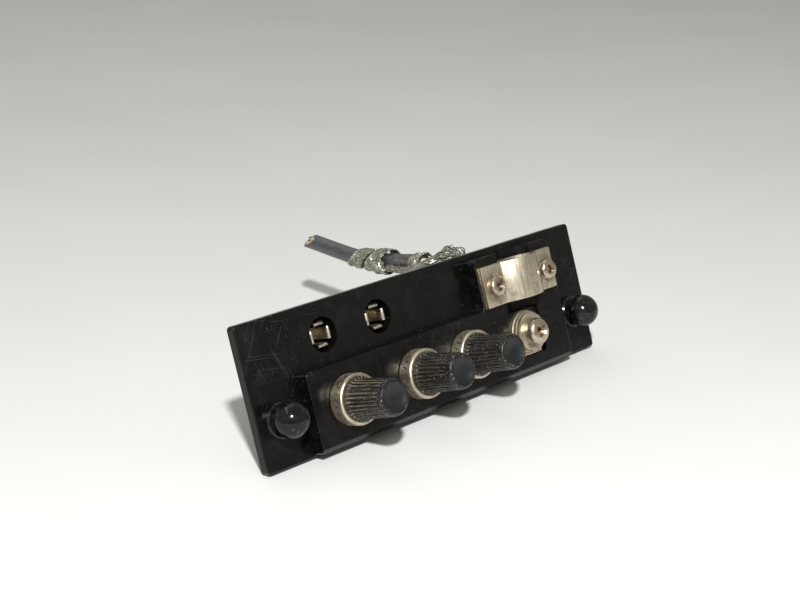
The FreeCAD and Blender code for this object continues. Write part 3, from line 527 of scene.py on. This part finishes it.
cableSet = {
    "route": [(21.3, 17.5, 16.8), (21.1, 27.0, 17.9), (21.4, 36.0, 19.3), (21.2, 43.5, 20.9),
              (21.3, 51.0, 23.6), (21.0, 59.0, 26.9), (21.2, 67.5, 30.0)],
    "jacketR": 2.25,
    "jacketWall": 0.5,
    "coreR": 1.4,
    "wireR": 0.35,
    "coreOut": 0.12,         # how far the core and the wire stand out of the cut
    "wireOut": 0.4,
    "corners": 6,
    "wireCorners": 3,
    "cutPlace": (21.2, 62.5, 28.1),
    "cutSlope": -16.6,
    "cutRoll": -33.0,
    "middleY": 37.5,         # parts the near end's rim from the cut's
}
shieldSet = {
    "strands": 34,
    "radius": 1.56,
    "scatter": 0.06,
    "lean": 0.25,
    "sway": 0.1,
    "from": 49.5,
    "steps": 26,
    "step": 0.7,
    "ends": (0.1, 0.75),     # how far the trimmed ends stand out of the cut
    "wireR": 0.11,
    "seed": 5,
}

cutPoint = Vector(cableSet["cutPlace"]) * mm
cutUp = (Matrix.Rotation(math.radians(cableSet["cutSlope"]), 3, "X")
         @ Matrix.Rotation(math.radians(cableSet["cutRoll"]), 3, "Y") @ Vector((0, 0, 1)))
cableLine = splinePoints(cableSet["route"])


def cableFrame(axial):
    # point, up and side of the cable at a distance along Y, in metres
    for a, b in zip(cableLine, cableLine[1:]):
        if b.y >= axial:
            break
    place = a + (b - a) * ((axial - a.y) / (b.y - a.y))
    along = (b - a).normalized()
    side = along.cross(Vector((0, 0, 1))).normalized()
    return place, side.cross(along), side


def onCable(axial, angle, radius):
    # a point round the cable; the angle is 0 on top and grows towards +X
    place, up, side = cableFrame(axial * mm)
    return place + (up * math.cos(angle) + side * math.sin(angle)) * radius * mm


def cutOff(mesh, lift=0.0):
    # removes what is above the slanting cut
    bmesh.ops.bisect_plane(mesh, geom=mesh.verts[:] + mesh.edges[:] + mesh.faces[:],
                           plane_co=cutPoint + cutUp * lift * mm, plane_no=cutUp, clear_outer=True)


def openRims(mesh, far):
    # the open edges at the cut, or at the near end
    rims = [e for e in mesh.edges if e.is_boundary]
    return [e for e in rims if (e.verts[0].co.y > cableSet["middleY"] * mm) == far]


def cableTube(radius, corners, lift=0.0):
    # a tube along the whole cable, cut off on the slant
    tube = wiresMesh([cableLine], radius * mm, corners, capped=False)
    cutOff(tube, lift)
    return tube


def joinMeshes(meshes):
    # one bmesh from several
    whole = meshes[0]
    for extra in meshes[1:]:
        data = bpy.data.meshes.new("extra")
        extra.to_mesh(data)
        extra.free()
        whole.from_mesh(data)
        bpy.data.meshes.remove(data)
    return whole


def makeJacket():
    inner = cableSet["jacketR"] - cableSet["jacketWall"]
    mesh = joinMeshes([cableTube(r, cableSet["corners"]) for r in (cableSet["jacketR"], inner)])
    tidyMesh(mesh)
    for far in (False, True):
        bmesh.ops.bridge_loops(mesh, edges=openRims(mesh, far))
    bmesh.ops.recalc_face_normals(mesh, faces=mesh.faces)
    jacket = newPiece("cableJacket", mesh, finishes["pvc_jacket"], "panel", ["cable_jacket"])
    toCut = [p for p in cableLine if (p - cutPoint).dot(cutUp) < 0] + [cutPoint]
    length = sum((b - a).length for a, b in zip(toCut, toCut[1:]))
    return jacket, toCut, length


def makeCutEnd():
    # core, centre wire and the braid's trimmed ends inside the jacket
    core = cableTube(cableSet["coreR"], cableSet["corners"], cableSet["coreOut"])
    for far in (True, False):
        bmesh.ops.contextual_create(core, geom=openRims(core, far))
    tidyMesh(core)
    dielectric = newPiece("cableCore", core, finishes["polythene"], "panel", ["cable_dielectric"])
    wire = cableTube(cableSet["wireR"], cableSet["wireCorners"], cableSet["wireOut"])
    bmesh.ops.contextual_create(wire, geom=openRims(wire, True))
    tidyMesh(wire)
    conductor = newPiece("cableWire", wire, finishes["copper_wire"], "panel", ["cable_conductor"])
    spec = shieldSet
    dice = random.Random(spec["seed"])
    strands = []
    for i in range(spec["strands"]):
        angle = 2 * math.pi * i / spec["strands"]
        radius = spec["radius"] + dice.uniform(-spec["scatter"], spec["scatter"])
        lean = dice.uniform(-spec["lean"], spec["lean"])
        strand = []
        for step in range(spec["steps"]):
            axial = spec["from"] + step * spec["step"]
            swing = spec["sway"] * math.sin(axial * 0.9) + lean * step / spec["steps"]
            p = onCable(axial, angle + swing, radius)
            if (p - cutPoint).dot(cutUp) > dice.uniform(*spec["ends"]) * mm:
                break
            strand.append(p)
        strands.append(strand)
    braid = wiresMesh(strands, spec["wireR"] * mm, 0)
    tidyMesh(braid)
    shield = newPiece("cableShield", braid, finishes["tinned_braid"], "panel", ["cable_shield"])
    return [dielectric, conductor, shield]


# flat braid bands wound over the jacket; each control is (angle in degrees, axial mm, radius mm)
bandSet = {
    "main": {
        "winding": [(130, 44.2, 2.45), (200, 43.6, 2.6), (270, 41.4, 2.75), (340, 38.8, 2.8),
                    (400, 37.6, 2.75), (470, 37.3, 2.8), (540, 37.0, 2.9), (590, 36.2, 3.0),
                    (640, 34.2, 3.1), (700, 32.0, 3.2), (760, 31.2, 3.2), (830, 32.0, 3.25),
                    (900, 33.0, 3.4), (960, 32.2, 3.45), (1010, 31.2, 3.4), (1070, 31.0, 3.2)],
        "width": 3.9, "strands": 10, "rise": 0.24, "repeat": 5.0, "seed": 3,
    },
    "small": {
        "winding": [(120, 21.0, 2.42), (200, 20.2, 2.48), (270, 18.6, 2.5), (340, 17.3, 2.5),
                    (420, 17.2, 2.5), (500, 18.2, 2.52), (560, 19.6, 2.6), (630, 19.7, 2.65),
                    (700, 18.3, 2.6), (760, 17.4, 2.5)],
        "width": 1.7, "strands": 6, "rise": 0.1, "repeat": 4.4, "seed": 8,
    },
    "wires": 3,
    "wireR": 0.12,
    "wireGap": 1.9,          # between neighbouring wires, times their radius
    "stations": 26,          # along the band for each control
    "fray": 0.12,
    "startSpread": 10,       # stations that a wire may start late or stop early
    "stopSpread": 14,
    "limit": 0.97,           # of the half width, where a strand turns back
    "overrun": 1.04,
    "wander": 0.12,
    "edgeDrop": 0.35,
    "lift": 0.06,
}


def windingAt(controls, share):
    # smooth place on a winding, with share from 0 to 1
    spot = share * (len(controls) - 1)
    i = min(int(spot), len(controls) - 2)
    t = spot - i
    before = Vector(controls[max(i - 1, 0)])
    a, b = Vector(controls[i]), Vector(controls[i + 1])
    after = Vector(controls[min(i + 2, len(controls) - 1)])
    return 0.5 * (2 * a + (b - before) * t + (2 * before - 5 * a + 4 * b - after) * t * t
                  + (3 * a - before - 3 * b + after) * t ** 3)


def braidBand(spec):
    # strands that cross from edge to edge of a flat band, laid out flat and then wound on
    dice = random.Random(spec["seed"])
    wireR, wires, limit = bandSet["wireR"], bandSet["wires"], bandSet["limit"]
    half = spec["width"] / 2
    controls = spec["winding"]
    steps = len(controls) * bandSet["stations"]
    stations = [windingAt(controls, i / steps) for i in range(steps + 1)]
    # unrolled place and running length
    flat = [Vector((s[1], math.radians(s[0]) * s[2])) for s in stations]
    run = [0.0]
    for a, b in zip(flat, flat[1:]):
        run.append(run[-1] + (b - a).length)
    paths = []
    for k in range(spec["strands"]):
        phase = k / spec["strands"]
        fray = dice.uniform(-bandSet["fray"], bandSet["fray"])
        for w in range(wires):
            offset = (w - (wires - 1) / 2) * wireR * bandSet["wireGap"]
            start, stop = dice.randint(0, bandSet["startSpread"]), dice.randint(0, bandSet["stopSpread"])
            path = []
            for i in range(start, steps + 1 - stop):
                a, b = flat[max(i - 1, 0)], flat[min(i + 1, steps)]
                along = (b - a).normalized()
                across = Vector((-along.y, along.x))
                turn = (run[i] / spec["repeat"] + phase) % 1
                wave = (1 - 4 * abs(turn - 0.5)) * bandSet["overrun"]
                t = half * max(-limit, min(limit, wave)) + offset + fray * 0.4
                t += bandSet["wander"] * math.sin(run[i] * 0.9 + k * 1.7)
                side = 1 if turn < 0.5 else -1
                height = side * spec["rise"] * math.cos(2 * math.pi * (turn * spec["strands"] / 4))
                edge = 1 - bandSet["edgeDrop"] * (t / half) ** 2
                spot = flat[i] + across * t
                radius = stations[i][2] + height * edge + bandSet["lift"] * math.sin(run[i] * 1.3 + fray * 30)
                path.append(onCable(spot.x, spot.y / stations[i][2], radius + wireR))
            paths.append(path)
    return wiresMesh(paths, wireR * mm, 0)


# loose strands that run under the cable from the wide winding to the panel, and the knot there
pigtailSet = {
    "route": [(23.9, 4.4, 14.6), (24.6, 5.9, 17.4), (23.2, 8.2, 18.3), (20.4, 11.4, 17.5), (17.7, 15.6, 16.2),
              (17.1, 20.4, 15.6), (17.4, 25.6, 16.6), (18.0, 28.9, 17.1)],
    "strands": 34,
    "radius": 0.75,
    "knotRadius": 1.75,
    "knotFrom": 3.4,
    "knotTo": 11.5,
    "wireR": 0.15,
    "twist": 5.0,
    "spread": (0.3, 1.0),    # a strand's share of the radius, before the power below
    "crowding": 0.6,
    "slack": 0.22,
    "weave": 0.5,
    "seed": 11,
}


def twistedStrands(spec):
    dice = random.Random(spec["seed"])
    line = splinePoints(spec["route"])
    paths = []
    for k in range(spec["strands"]):
        turn = 2 * math.pi * k / spec["strands"]
        reach = dice.uniform(*spec["spread"]) ** spec["crowding"]
        wobble = dice.uniform(0, 6.28)
        path = []
        run = 0.0
        for i, p in enumerate(line[1:-1], 1):
            along = (line[i + 1] - line[i - 1]).normalized()
            side = along.cross(Vector((0, 0, 1))).normalized()
            up = side.cross(along)
            run += (line[i] - line[i - 1]).length / mm
            inKnot = (p.y / mm - spec["knotFrom"]) / (spec["knotTo"] - spec["knotFrom"])
            knot = max(0.0, math.sin(math.pi * min(max(inKnot, 0), 1)))
            radius = spec["radius"] + (spec["knotRadius"] - spec["radius"]) * knot
            radius *= reach * (1 + spec["slack"] * math.sin(run * 1.7 + wobble))
            angle = turn + run / spec["twist"] + spec["weave"] * math.sin(run * 0.6 + wobble)
            path.append(p + (up * math.cos(angle) + side * math.sin(angle)) * radius * mm)
        paths.append(path)
    return wiresMesh(paths, spec["wireR"] * mm, 1)


def makeBraids():
    made = []
    for key, node in (("main", "braid_wrap_main"), ("small", "braid_wrap_small")):
        mesh = braidBand(bandSet[key])
        made.append(newPiece("braidBand" + key.capitalize(), mesh, finishes["tinned_braid"], "panel", [node]))
    pigtail = twistedStrands(pigtailSet)
    newPiece("braidPigtail", pigtail, finishes["tinned_braid"], "panel", ["braid_pigtail"])
    return made


coreSet = {
    "route": [(21.3, 17.5, 16.8), (21.38, 13.7, 16.36), (22.4, 11.2, 13.6), (24.2, 10.0, 9.6),
              (26.4, 9.2, 4.4), (28.4, 9.0, -1.0)],
    "radius": 1.1,
    "corners": 5,
}


def makeCoreLead():
    mesh = wiresMesh([splinePoints(coreSet["route"])], coreSet["radius"] * mm, coreSet["corners"])
    tidyMesh(mesh)
    newPiece("coreLead", mesh, finishes["polythene"], "panel", ["core_lead"])


def makeCable():
    jacket, path, length = makeJacket()
    onIt = makeCutEnd() + makeBraids()
    makeCoreLead()
    print("cable stub: %.1f mm" % (length / mm))


makeCable()

# caps, collars and studs of the three posts

capSet = {
    "flutes": 30,
    "perFlute": 8,
    "fluteDepth": 0.42,
    "fadeStart": 1.75,       # from the end, where the flutes start to run out
    "fadeEnd": 1.15,
    "flare": 0.45,
    "taper": 0.45,
    "veeWidth": 0.28,        # half a flute's opening, as a share of its pitch
    "boreR": 3.0,
    "boreL": 9.0,
    "dishR": 3.35,
    "dishDepth": 0.75,
    "grime": {"left": 1.0, "middle": 0.4, "right": 0.32},
}
collarSet = {
    "steps": 96,
    "dashFrom": 1.25,
    "dashTo": 2.85,
    "dashEvery": 4,
    "dashLean": 3.4,
    "dashDepth": 0.25,
    "dashWall": 0.07,
    "seatR": 5.0,
    "seatDepth": 0.6,
    "boreR": 2.05,
}
studSet = {"pitch": 0.7, "threadDepth": 0.3, "steps": 32}


def makeCap(side):
    node = "post_%s_cap" % side
    x, z, end, base, wide = centredBox(node)
    narrow = wide - capSet["taper"]
    inner = base - capSet["boreL"]
    dish = capSet["dishR"]
    skirt = wide + capSet["flare"]
    profile = [(0, inner), (capSet["boreR"], inner), (capSet["boreR"], base - 0.05),
               (wide + 0.3, base - 0.05), (skirt, base - 0.15), (skirt, base - 0.5)]
    for y in (base - 1.1, base - 3, base - 6, base - 9, end + capSet["fadeStart"], end + 1.4):
        profile.append((wide + (narrow - wide) * (base - y) / (base - end), y))
    profile += [(narrow, end + capSet["fadeEnd"]), (narrow - 0.03, end + 0.8),
                (narrow - 0.16, end + 0.38), (narrow - 0.42, end + 0.1), (narrow - 0.72, end),
                (dish + 0.12, end + 0.03), (dish, end + 0.2), (dish - 0.25, end + 0.3)]
    for r in (2.7, 2.2, 1.6, 1.0, 0.5, 0):
        profile.append((r, end + 0.3 + capSet["dishDepth"] * (1 - (r / dish) ** 2)))
    mesh = turnedMesh(profile, x, z, capSet["flutes"] * capSet["perFlute"])
    groove = mesh.verts.layers.float.new("groove")
    face = mesh.verts.layers.float.new("face")
    grime = mesh.verts.layers.float.new("grime")
    fadeLength = capSet["fadeStart"] - capSet["fadeEnd"]
    for v in mesh.verts:
        out = Vector((v.co.x - x, v.co.z - z))
        y = v.co.y / mm
        v[grime] = capSet["grime"][side]
        v[face] = 1.0 if out.length < dish * mm + 1e-6 and y < inner - 1 else 0.0
        if out.length > (narrow - 0.2) * mm and y > end + 1.0:
            share = (math.atan2(out.y, out.x) / (2 * math.pi) * capSet["flutes"]) % 1
            vee = max(0.0, 1 - abs(share - 0.5) / capSet["veeWidth"])
            fade = min(1.0, max(0.0, (y - end - capSet["fadeEnd"]) / fadeLength))
            inwards = out / out.length * capSet["fluteDepth"] * vee * fade * mm
            v.co.x -= inwards.x
            v.co.z -= inwards.y
            v[groove] = min(1.0, 0.12 + vee * 1.2) * fade
    newPiece("cap" + side.capitalize(), mesh, finishes["phenolic_cap"], node, [node], 26)


def makeCollar(side):
    node = "post_%s_collar" % side
    x, z, front, back, wide = centredBox(node)
    spec = collarSet
    seatR, seat, boreR = spec["seatR"], front + spec["seatDepth"], spec["boreR"]
    profile = [(boreR, back), (wide - 0.25, back), (wide, back - 0.25), (wide, back - spec["dashFrom"]),
               (wide, back - spec["dashTo"]), (wide, front + 0.55), (wide - 0.08, front + 0.28),
               (wide - 0.26, front + 0.09), (wide - 0.5, front), (wide - 0.78, front + 0.04),
               (wide - 1.02, front + 0.16), (seatR, front + 0.36), (seatR, seat), (boreR, seat),
               (boreR, back)]
    mesh = turnedMesh(profile, x, z, spec["steps"])
    recess = mesh.verts.layers.float.new("recess")
    for v in mesh.verts:
        y = v.co.y / mm
        lean = {spec["dashFrom"]: 1, spec["dashTo"]: -1}.get(round(back - y, 2), 0)
        if lean and math.hypot(v.co.x - x, v.co.z - z) > (wide - 0.05) * mm:
            turn = Matrix.Rotation(math.radians(lean * spec["dashLean"]), 3, "Y")
            v.co = turn @ (v.co - Vector((x, 0, z))) + Vector((x, 0, z))
    middleY = back - (spec["dashFrom"] + spec["dashTo"]) / 2
    band = []
    for f in mesh.faces:
        spot = f.calc_center_median()
        across, up = spot.x - x, spot.z - z
        if abs(spot.y / mm - middleY) < 0.2 and math.hypot(across, up) > (wide - 0.1) * mm:
            band.append((math.atan2(up, across), f))
    band = [pair[1] for pair in sorted(band, key=lambda pair: pair[0])]
    dashes = band[::spec["dashEvery"]]
    bmesh.ops.inset_individual(mesh, faces=dashes, thickness=spec["dashWall"] * mm,
                               depth=-spec["dashDepth"] * mm)
    # the dash floors are marked as recess, where the finish paints shade with dark patches
    for f in dashes:
        for v in f.verts:
            v[recess] = 1.0
    newPiece("collar" + side.capitalize(), mesh, finishes["nickel_collar"], "panel", [node], 30)


def threaded(radius, pitch, start, stop, depth):
    # a thread's flanks as (radius, y) steps, from start to stop
    count = max(2, int(abs(stop - start) / pitch))
    step = (stop - start) / count
    line = [(radius - depth, start)]
    for i in range(count):
        line += [(radius, start + step * (i + 0.5)), (radius - depth, start + step * (i + 1))]
    return line


def makeStud(side):
    node = "post_%s_stud" % side
    low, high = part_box(node)
    radius = (high[0] - low[0]) / 2 / mm
    x, z = (low[0] + high[0]) / 2, low[2] + radius * mm
    front, back = low[1] / mm, high[1] / mm
    thread = threaded(radius, studSet["pitch"], front, back, studSet["threadDepth"])
    mesh = turnedMesh([(0, front)] + thread + [(0, back)], x, z, studSet["steps"])
    newPiece("stud" + side.capitalize(), mesh, finishes[slotOf[node]], "panel", [node], 25)


for side in ("left", "middle", "right"):
    makeCap(side)
    makeCollar(side)
    makeStud(side)
print("posts made")

# sprung socket contacts

contactSet = {
    "width": 2.9,
    "thick": 0.4,
    # the middle of a finger's strip, as (radius, y past the lip)
    "finger": [(3.1, 0.1), (3.02, -0.75), (2.68, -1.0), (2.36, -0.7), (2.2, 0.2), (2.25, 1.8), (2.5, 5.0)],
    "ringWall": 0.55,
    "ringL": 3.0,
    "ringFloor": 0.5,
    "ringSteps": 48,
    "tailWidth": 2.4,
    "tailTaper": 0.8,
    "tailThick": 0.4,
    "tailL": 6.0,
    "soften": 0.09,
    "tailSoften": 0.06,
}


def makeContact(side):
    node = "socket_%s_contact" % side
    low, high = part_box(node)
    spec = contactSet
    lip = low[1] / mm
    ringEnd = high[1] / mm - spec["tailL"]
    ringR = (high[0] - low[0]) / 2 / mm
    x, z = (low[0] + high[0]) / 2, high[2] - ringR * mm
    ringStart = ringEnd - spec["ringL"]
    floor = ringEnd - spec["ringFloor"]
    wall = ringR - spec["ringWall"]
    halfThick, halfWidth = spec["thick"] / 2, spec["width"] / 2
    strip = [(r, lip + y) for r, y in spec["finger"]] + [(ringR - halfThick, ringStart + 0.6)]
    strip = roundedLine(strip, 0.8, 3)
    faces = []
    for i, spot in enumerate(strip):
        along = (strip[min(i + 1, len(strip) - 1)] - strip[max(i - 1, 0)]).normalized()
        faces.append((spot, Vector((-along.y, along.x)) * halfThick))
    outline = [(s + n) * mm for s, n in faces] + [(s - n) * mm for s, n in faces[::-1]]
    parts = []
    for turn in range(4):
        finger = extrudedMesh(outline, -halfWidth * mm, halfWidth * mm, spec["soften"] * mm)
        place = Matrix.Translation((x, 0, z)) @ Matrix.Rotation(turn * math.pi / 2, 4, "Y")
        bmesh.ops.transform(finger, matrix=place, verts=finger.verts)
        parts.append(finger)
    ring = [(wall, ringStart), (ringR, ringStart), (ringR, ringEnd), (0, ringEnd), (0, floor), (wall, floor),
            (wall, ringStart)]
    parts.append(turnedMesh(ring, x, z, spec["ringSteps"]))
    half, tip = spec["tailWidth"] / 2, spec["tailWidth"] / 2 * spec["tailTaper"]
    end = high[1] / mm
    corners = ((-half, ringEnd - 0.1), (half, ringEnd - 0.1), (tip, end), (-tip, end))
    halfTail = spec["tailThick"] / 2 * mm
    tail = extrudedMesh([Vector(p) * mm for p in corners], -halfTail, halfTail, spec["tailSoften"] * mm)
    bmesh.ops.transform(tail, matrix=Matrix.Translation((x, 0, z)), verts=tail.verts)
    parts.append(tail)
    whole = joinMeshes(parts)
    newPiece("contact" + side.capitalize(), whole, finishes["silver_contact"], "panel", [node], 35)


for side in ("left", "right"):
    makeContact(side)
print("contacts made")

# cable clamp and its screws

saddleSet = {
    "archX": 30.6,
    "thick": 0.9,
    "archHalf": 6.85,
    "bend": 1.1,
    "pipOff": 3.3,
    "pipR": 0.62,
    "pipFlat": 0.6,
    "bendR": 9.0,
    "soften": 0.16,
    "arcSteps": 28,
}
screwSet = {
    "steps": 48,
    "crossR": 0.6,           # shares of the head's radius
    "crossWidth": 0.21,
    "crossDepth": 0.62,      # share of the head's height
    "crossOver": 0.6,        # how far the cutters stand out of the head
    "threadDepth": 0.25,
    "domeSteps": 12,
    "domeFlat": 0.7,         # powers that flatten the head's top and square its sides
    "domeFull": 0.55,
    "shoulder": 0.35,
    "small": {"head": 2.0, "shank": 1.45, "pitch": 0.5},
    "large": {"head": 2.6, "shank": 1.95, "pitch": 0.7},
}


def makeSaddle():
    low, high = (Vector(c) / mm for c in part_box("clamp_saddle"))
    spec = saddleSet
    clampX = spec["archX"]
    back = high.y
    front = back - spec["thick"]
    rise = front - low.y
    half = spec["archHalf"]
    outerR = (half * half + rise * rise) / 2 / rise
    centre = low.y + outerR
    innerR = outerR - spec["thick"]

    def arc(radius, flat):
        # points of the arch from left to right, with a bend where it meets the flat
        reach = math.acos((centre - flat) / radius)
        first = reach - spec["bend"] / radius
        points = []
        for i in range(spec["arcSteps"] + 1):
            angle = -first + 2 * first * i / spec["arcSteps"]
            points.append(Vector((clampX + radius * math.sin(angle), centre - radius * math.cos(angle))))
        foot = radius * math.sin(reach)
        left, right, bend = clampX - foot, clampX + foot, spec["bend"]
        lead = roundedLine([(left - bend, flat), (left, flat), points[0]], spec["bendR"], 6)
        trail = roundedLine([points[-1], (right, flat), (right + bend, flat)], spec["bendR"], 6)
        return lead + points[1:-1] + trail

    outer = [Vector((low.x, front))] + arc(outerR, front) + [Vector((high.x, front))]
    inner = [Vector((low.x, back))] + arc(innerR, back) + [Vector((high.x, back))]
    outline = [p * mm for p in outer + inner[::-1]]
    mesh = extrudedMesh(outline, low.z * mm, high.z * mm, spec["soften"] * mm)
    lean = math.asin(spec["pipOff"] / outerR)
    pip = bmesh.new()
    bmesh.ops.create_uvsphere(pip, u_segments=20, v_segments=12, radius=spec["pipR"] * mm)
    pipSpot = Vector((clampX + outerR * math.sin(lean), centre - outerR * math.cos(lean),
                      (low.z + high.z) / 2))
    place = Matrix.Translation(pipSpot * mm) @ Matrix.Rotation(-lean, 4, "Z")
    bmesh.ops.transform(pip, matrix=place @ Matrix.Scale(spec["pipFlat"], 4, (0, 1, 0)), verts=pip.verts)
    newPiece("saddle", joinMeshes([mesh, pip]), finishes["nickel_plate"], "saddle", ["clamp_saddle"], 40)


def crossCutter(place, reach, width, length):
    # one tapered bar of the cross, set along the screw's axis by place
    cutter = bmesh.new()
    bmesh.ops.create_cone(cutter, cap_ends=True, segments=4, radius1=0.5 * reach * mm,
                          radius2=1.6 * reach * mm, depth=length * mm)
    squared = Matrix.Scale(width / reach, 4, (0, 1, 0)) @ Matrix.Rotation(math.radians(45), 4, "Z")
    bmesh.ops.transform(cutter, matrix=place @ squared, verts=cutter.verts)
    bmesh.ops.recalc_face_normals(cutter, faces=cutter.faces)
    return newPiece("crossTool", cutter, finishes["nickel_screw"], None)


def makeScrew(node, body, kind, turn):
    spec = screwSet[kind]
    x, z, front, end, headR = centredBox(node)
    seat = front + spec["head"]
    brow = seat - screwSet["shoulder"]

    def domeY(angle):
        return brow - (brow - front) * math.cos(angle) ** screwSet["domeFull"]

    profile = [(0, front)]
    for i in range(1, screwSet["domeSteps"] + 1):
        angle = i / screwSet["domeSteps"] * math.pi / 2
        profile.append((headR * math.sin(angle) ** screwSet["domeFlat"], domeY(angle)))
    profile += [(headR, seat - 0.15), (headR - 0.15, seat), (spec["shank"], seat)]
    profile += threaded(spec["shank"], spec["pitch"], seat + 0.2, end - 0.3, screwSet["threadDepth"])
    mesh = turnedMesh(profile + [(0, end)], x, z, screwSet["steps"])
    head = newPiece(node + "Blank", mesh, finishes["nickel_screw"], None)
    reach, width = headR * screwSet["crossR"], headR * screwSet["crossWidth"]
    depth, over = spec["head"] * screwSet["crossDepth"], screwSet["crossOver"]
    tools = []
    for quarter in (0, 90):
        place = (Matrix.Translation((x, (front + (depth - over) / 2) * mm, z))
                 @ Matrix.Rotation(math.radians(turn + quarter), 4, "Y")
                 @ Matrix.Rotation(math.radians(90), 4, "X"))
        tools.append(crossCutter(place, reach, width, depth + over))
        cut = head.modifiers.new("cross", "BOOLEAN")
        cut.object = tools[-1]
        cut.operation = "DIFFERENCE"
        cut.solver = "EXACT"
    data = bpy.data.meshes.new_from_object(head.evaluated_get(bpy.context.evaluated_depsgraph_get()))
    shaped = bmesh.new()
    shaped.from_mesh(data)
    for spare in [head] + tools:
        bpy.data.objects.remove(spare)
    bpy.data.meshes.remove(data)
    # the cross is marked as recess by its depth, where the finish paints shade with rust patches
    recess = shaped.verts.layers.float.get("recess") or shaped.verts.layers.float.new("recess")
    for v in shaped.verts:
        out = math.hypot(v.co.x - x, v.co.z - z) / mm
        if out < headR * 0.85 and v.co.y / mm < seat:
            deep = v.co.y / mm - domeY(math.asin((out / headR) ** (1 / screwSet["domeFlat"])))
            v[recess] = min(1.0, max(0.0, deep / 0.3))
    words = [w.capitalize() for w in node.split("_")]
    newPiece(words[0].lower() + "".join(words[1:]), shaped, finishes["nickel_screw"], body, [node], 32)


makeSaddle()
makeScrew("clamp_screw_left", "saddle_screw_left", "small", 20)
makeScrew("clamp_screw_right", "saddle_screw_right", "small", 52)
makeScrew("terminal_screw", "terminal_screw", "large", 28)
print("clamp and screws made")

# terminal washers and rivet domes

washerSet = {"bore": 2.3, "round": 0.2, "lip": 1.1, "steps": 72}
domeSet = {"rim": 0.4, "pinR": 1.5, "tip": 0.5, "arcSteps": 14, "steps": 72}


def makeWasher(node, name, lift):
    x, z, front, back, wide = centredBox(node)
    r, bore, face = washerSet["round"], washerSet["bore"], front + lift
    profile = [(bore, back), (wide - r, back), (wide, back - r), (wide, front + r),
               (wide - 0.3 * r, front + 0.3 * r), (wide - r, front), (wide - washerSet["lip"], face),
               (bore, face), (bore, back)]
    mesh = turnedMesh(profile, x, z, washerSet["steps"])
    newPiece(name, mesh, finishes[slotOf[node]], "terminal_washers", [node], 30)


def makeDome(side):
    node = "rivet_%s_plunger" % side
    x, z, top, end, wide = centredBox(node)
    equator = top + wide
    profile = []
    for i in range(domeSet["arcSteps"] + 1):
        angle = math.pi / 2 * i / domeSet["arcSteps"]
        profile.append((wide * math.sin(angle), equator - wide * math.cos(angle)))
    pin, tip = domeSet["pinR"], domeSet["tip"]
    under = equator + domeSet["rim"]
    profile += [(wide - 0.02, under - 0.14), (wide - 0.14, under), (pin, under), (pin, end - tip),
                (pin - tip * 0.7, end), (0, end)]
    mesh = turnedMesh(profile, x, z, domeSet["steps"])
    newPiece("dome" + side.capitalize(), mesh, finishes["nylon_black"], "rivet_" + side, [node], 35)


makeWasher("terminal_cup_washer", "cupWasher", 0.18)
makeWasher("terminal_flat_washer", "flatWasher", 0.0)
for side in ("left", "right"):
    makeDome(side)
print("washers and domes made")
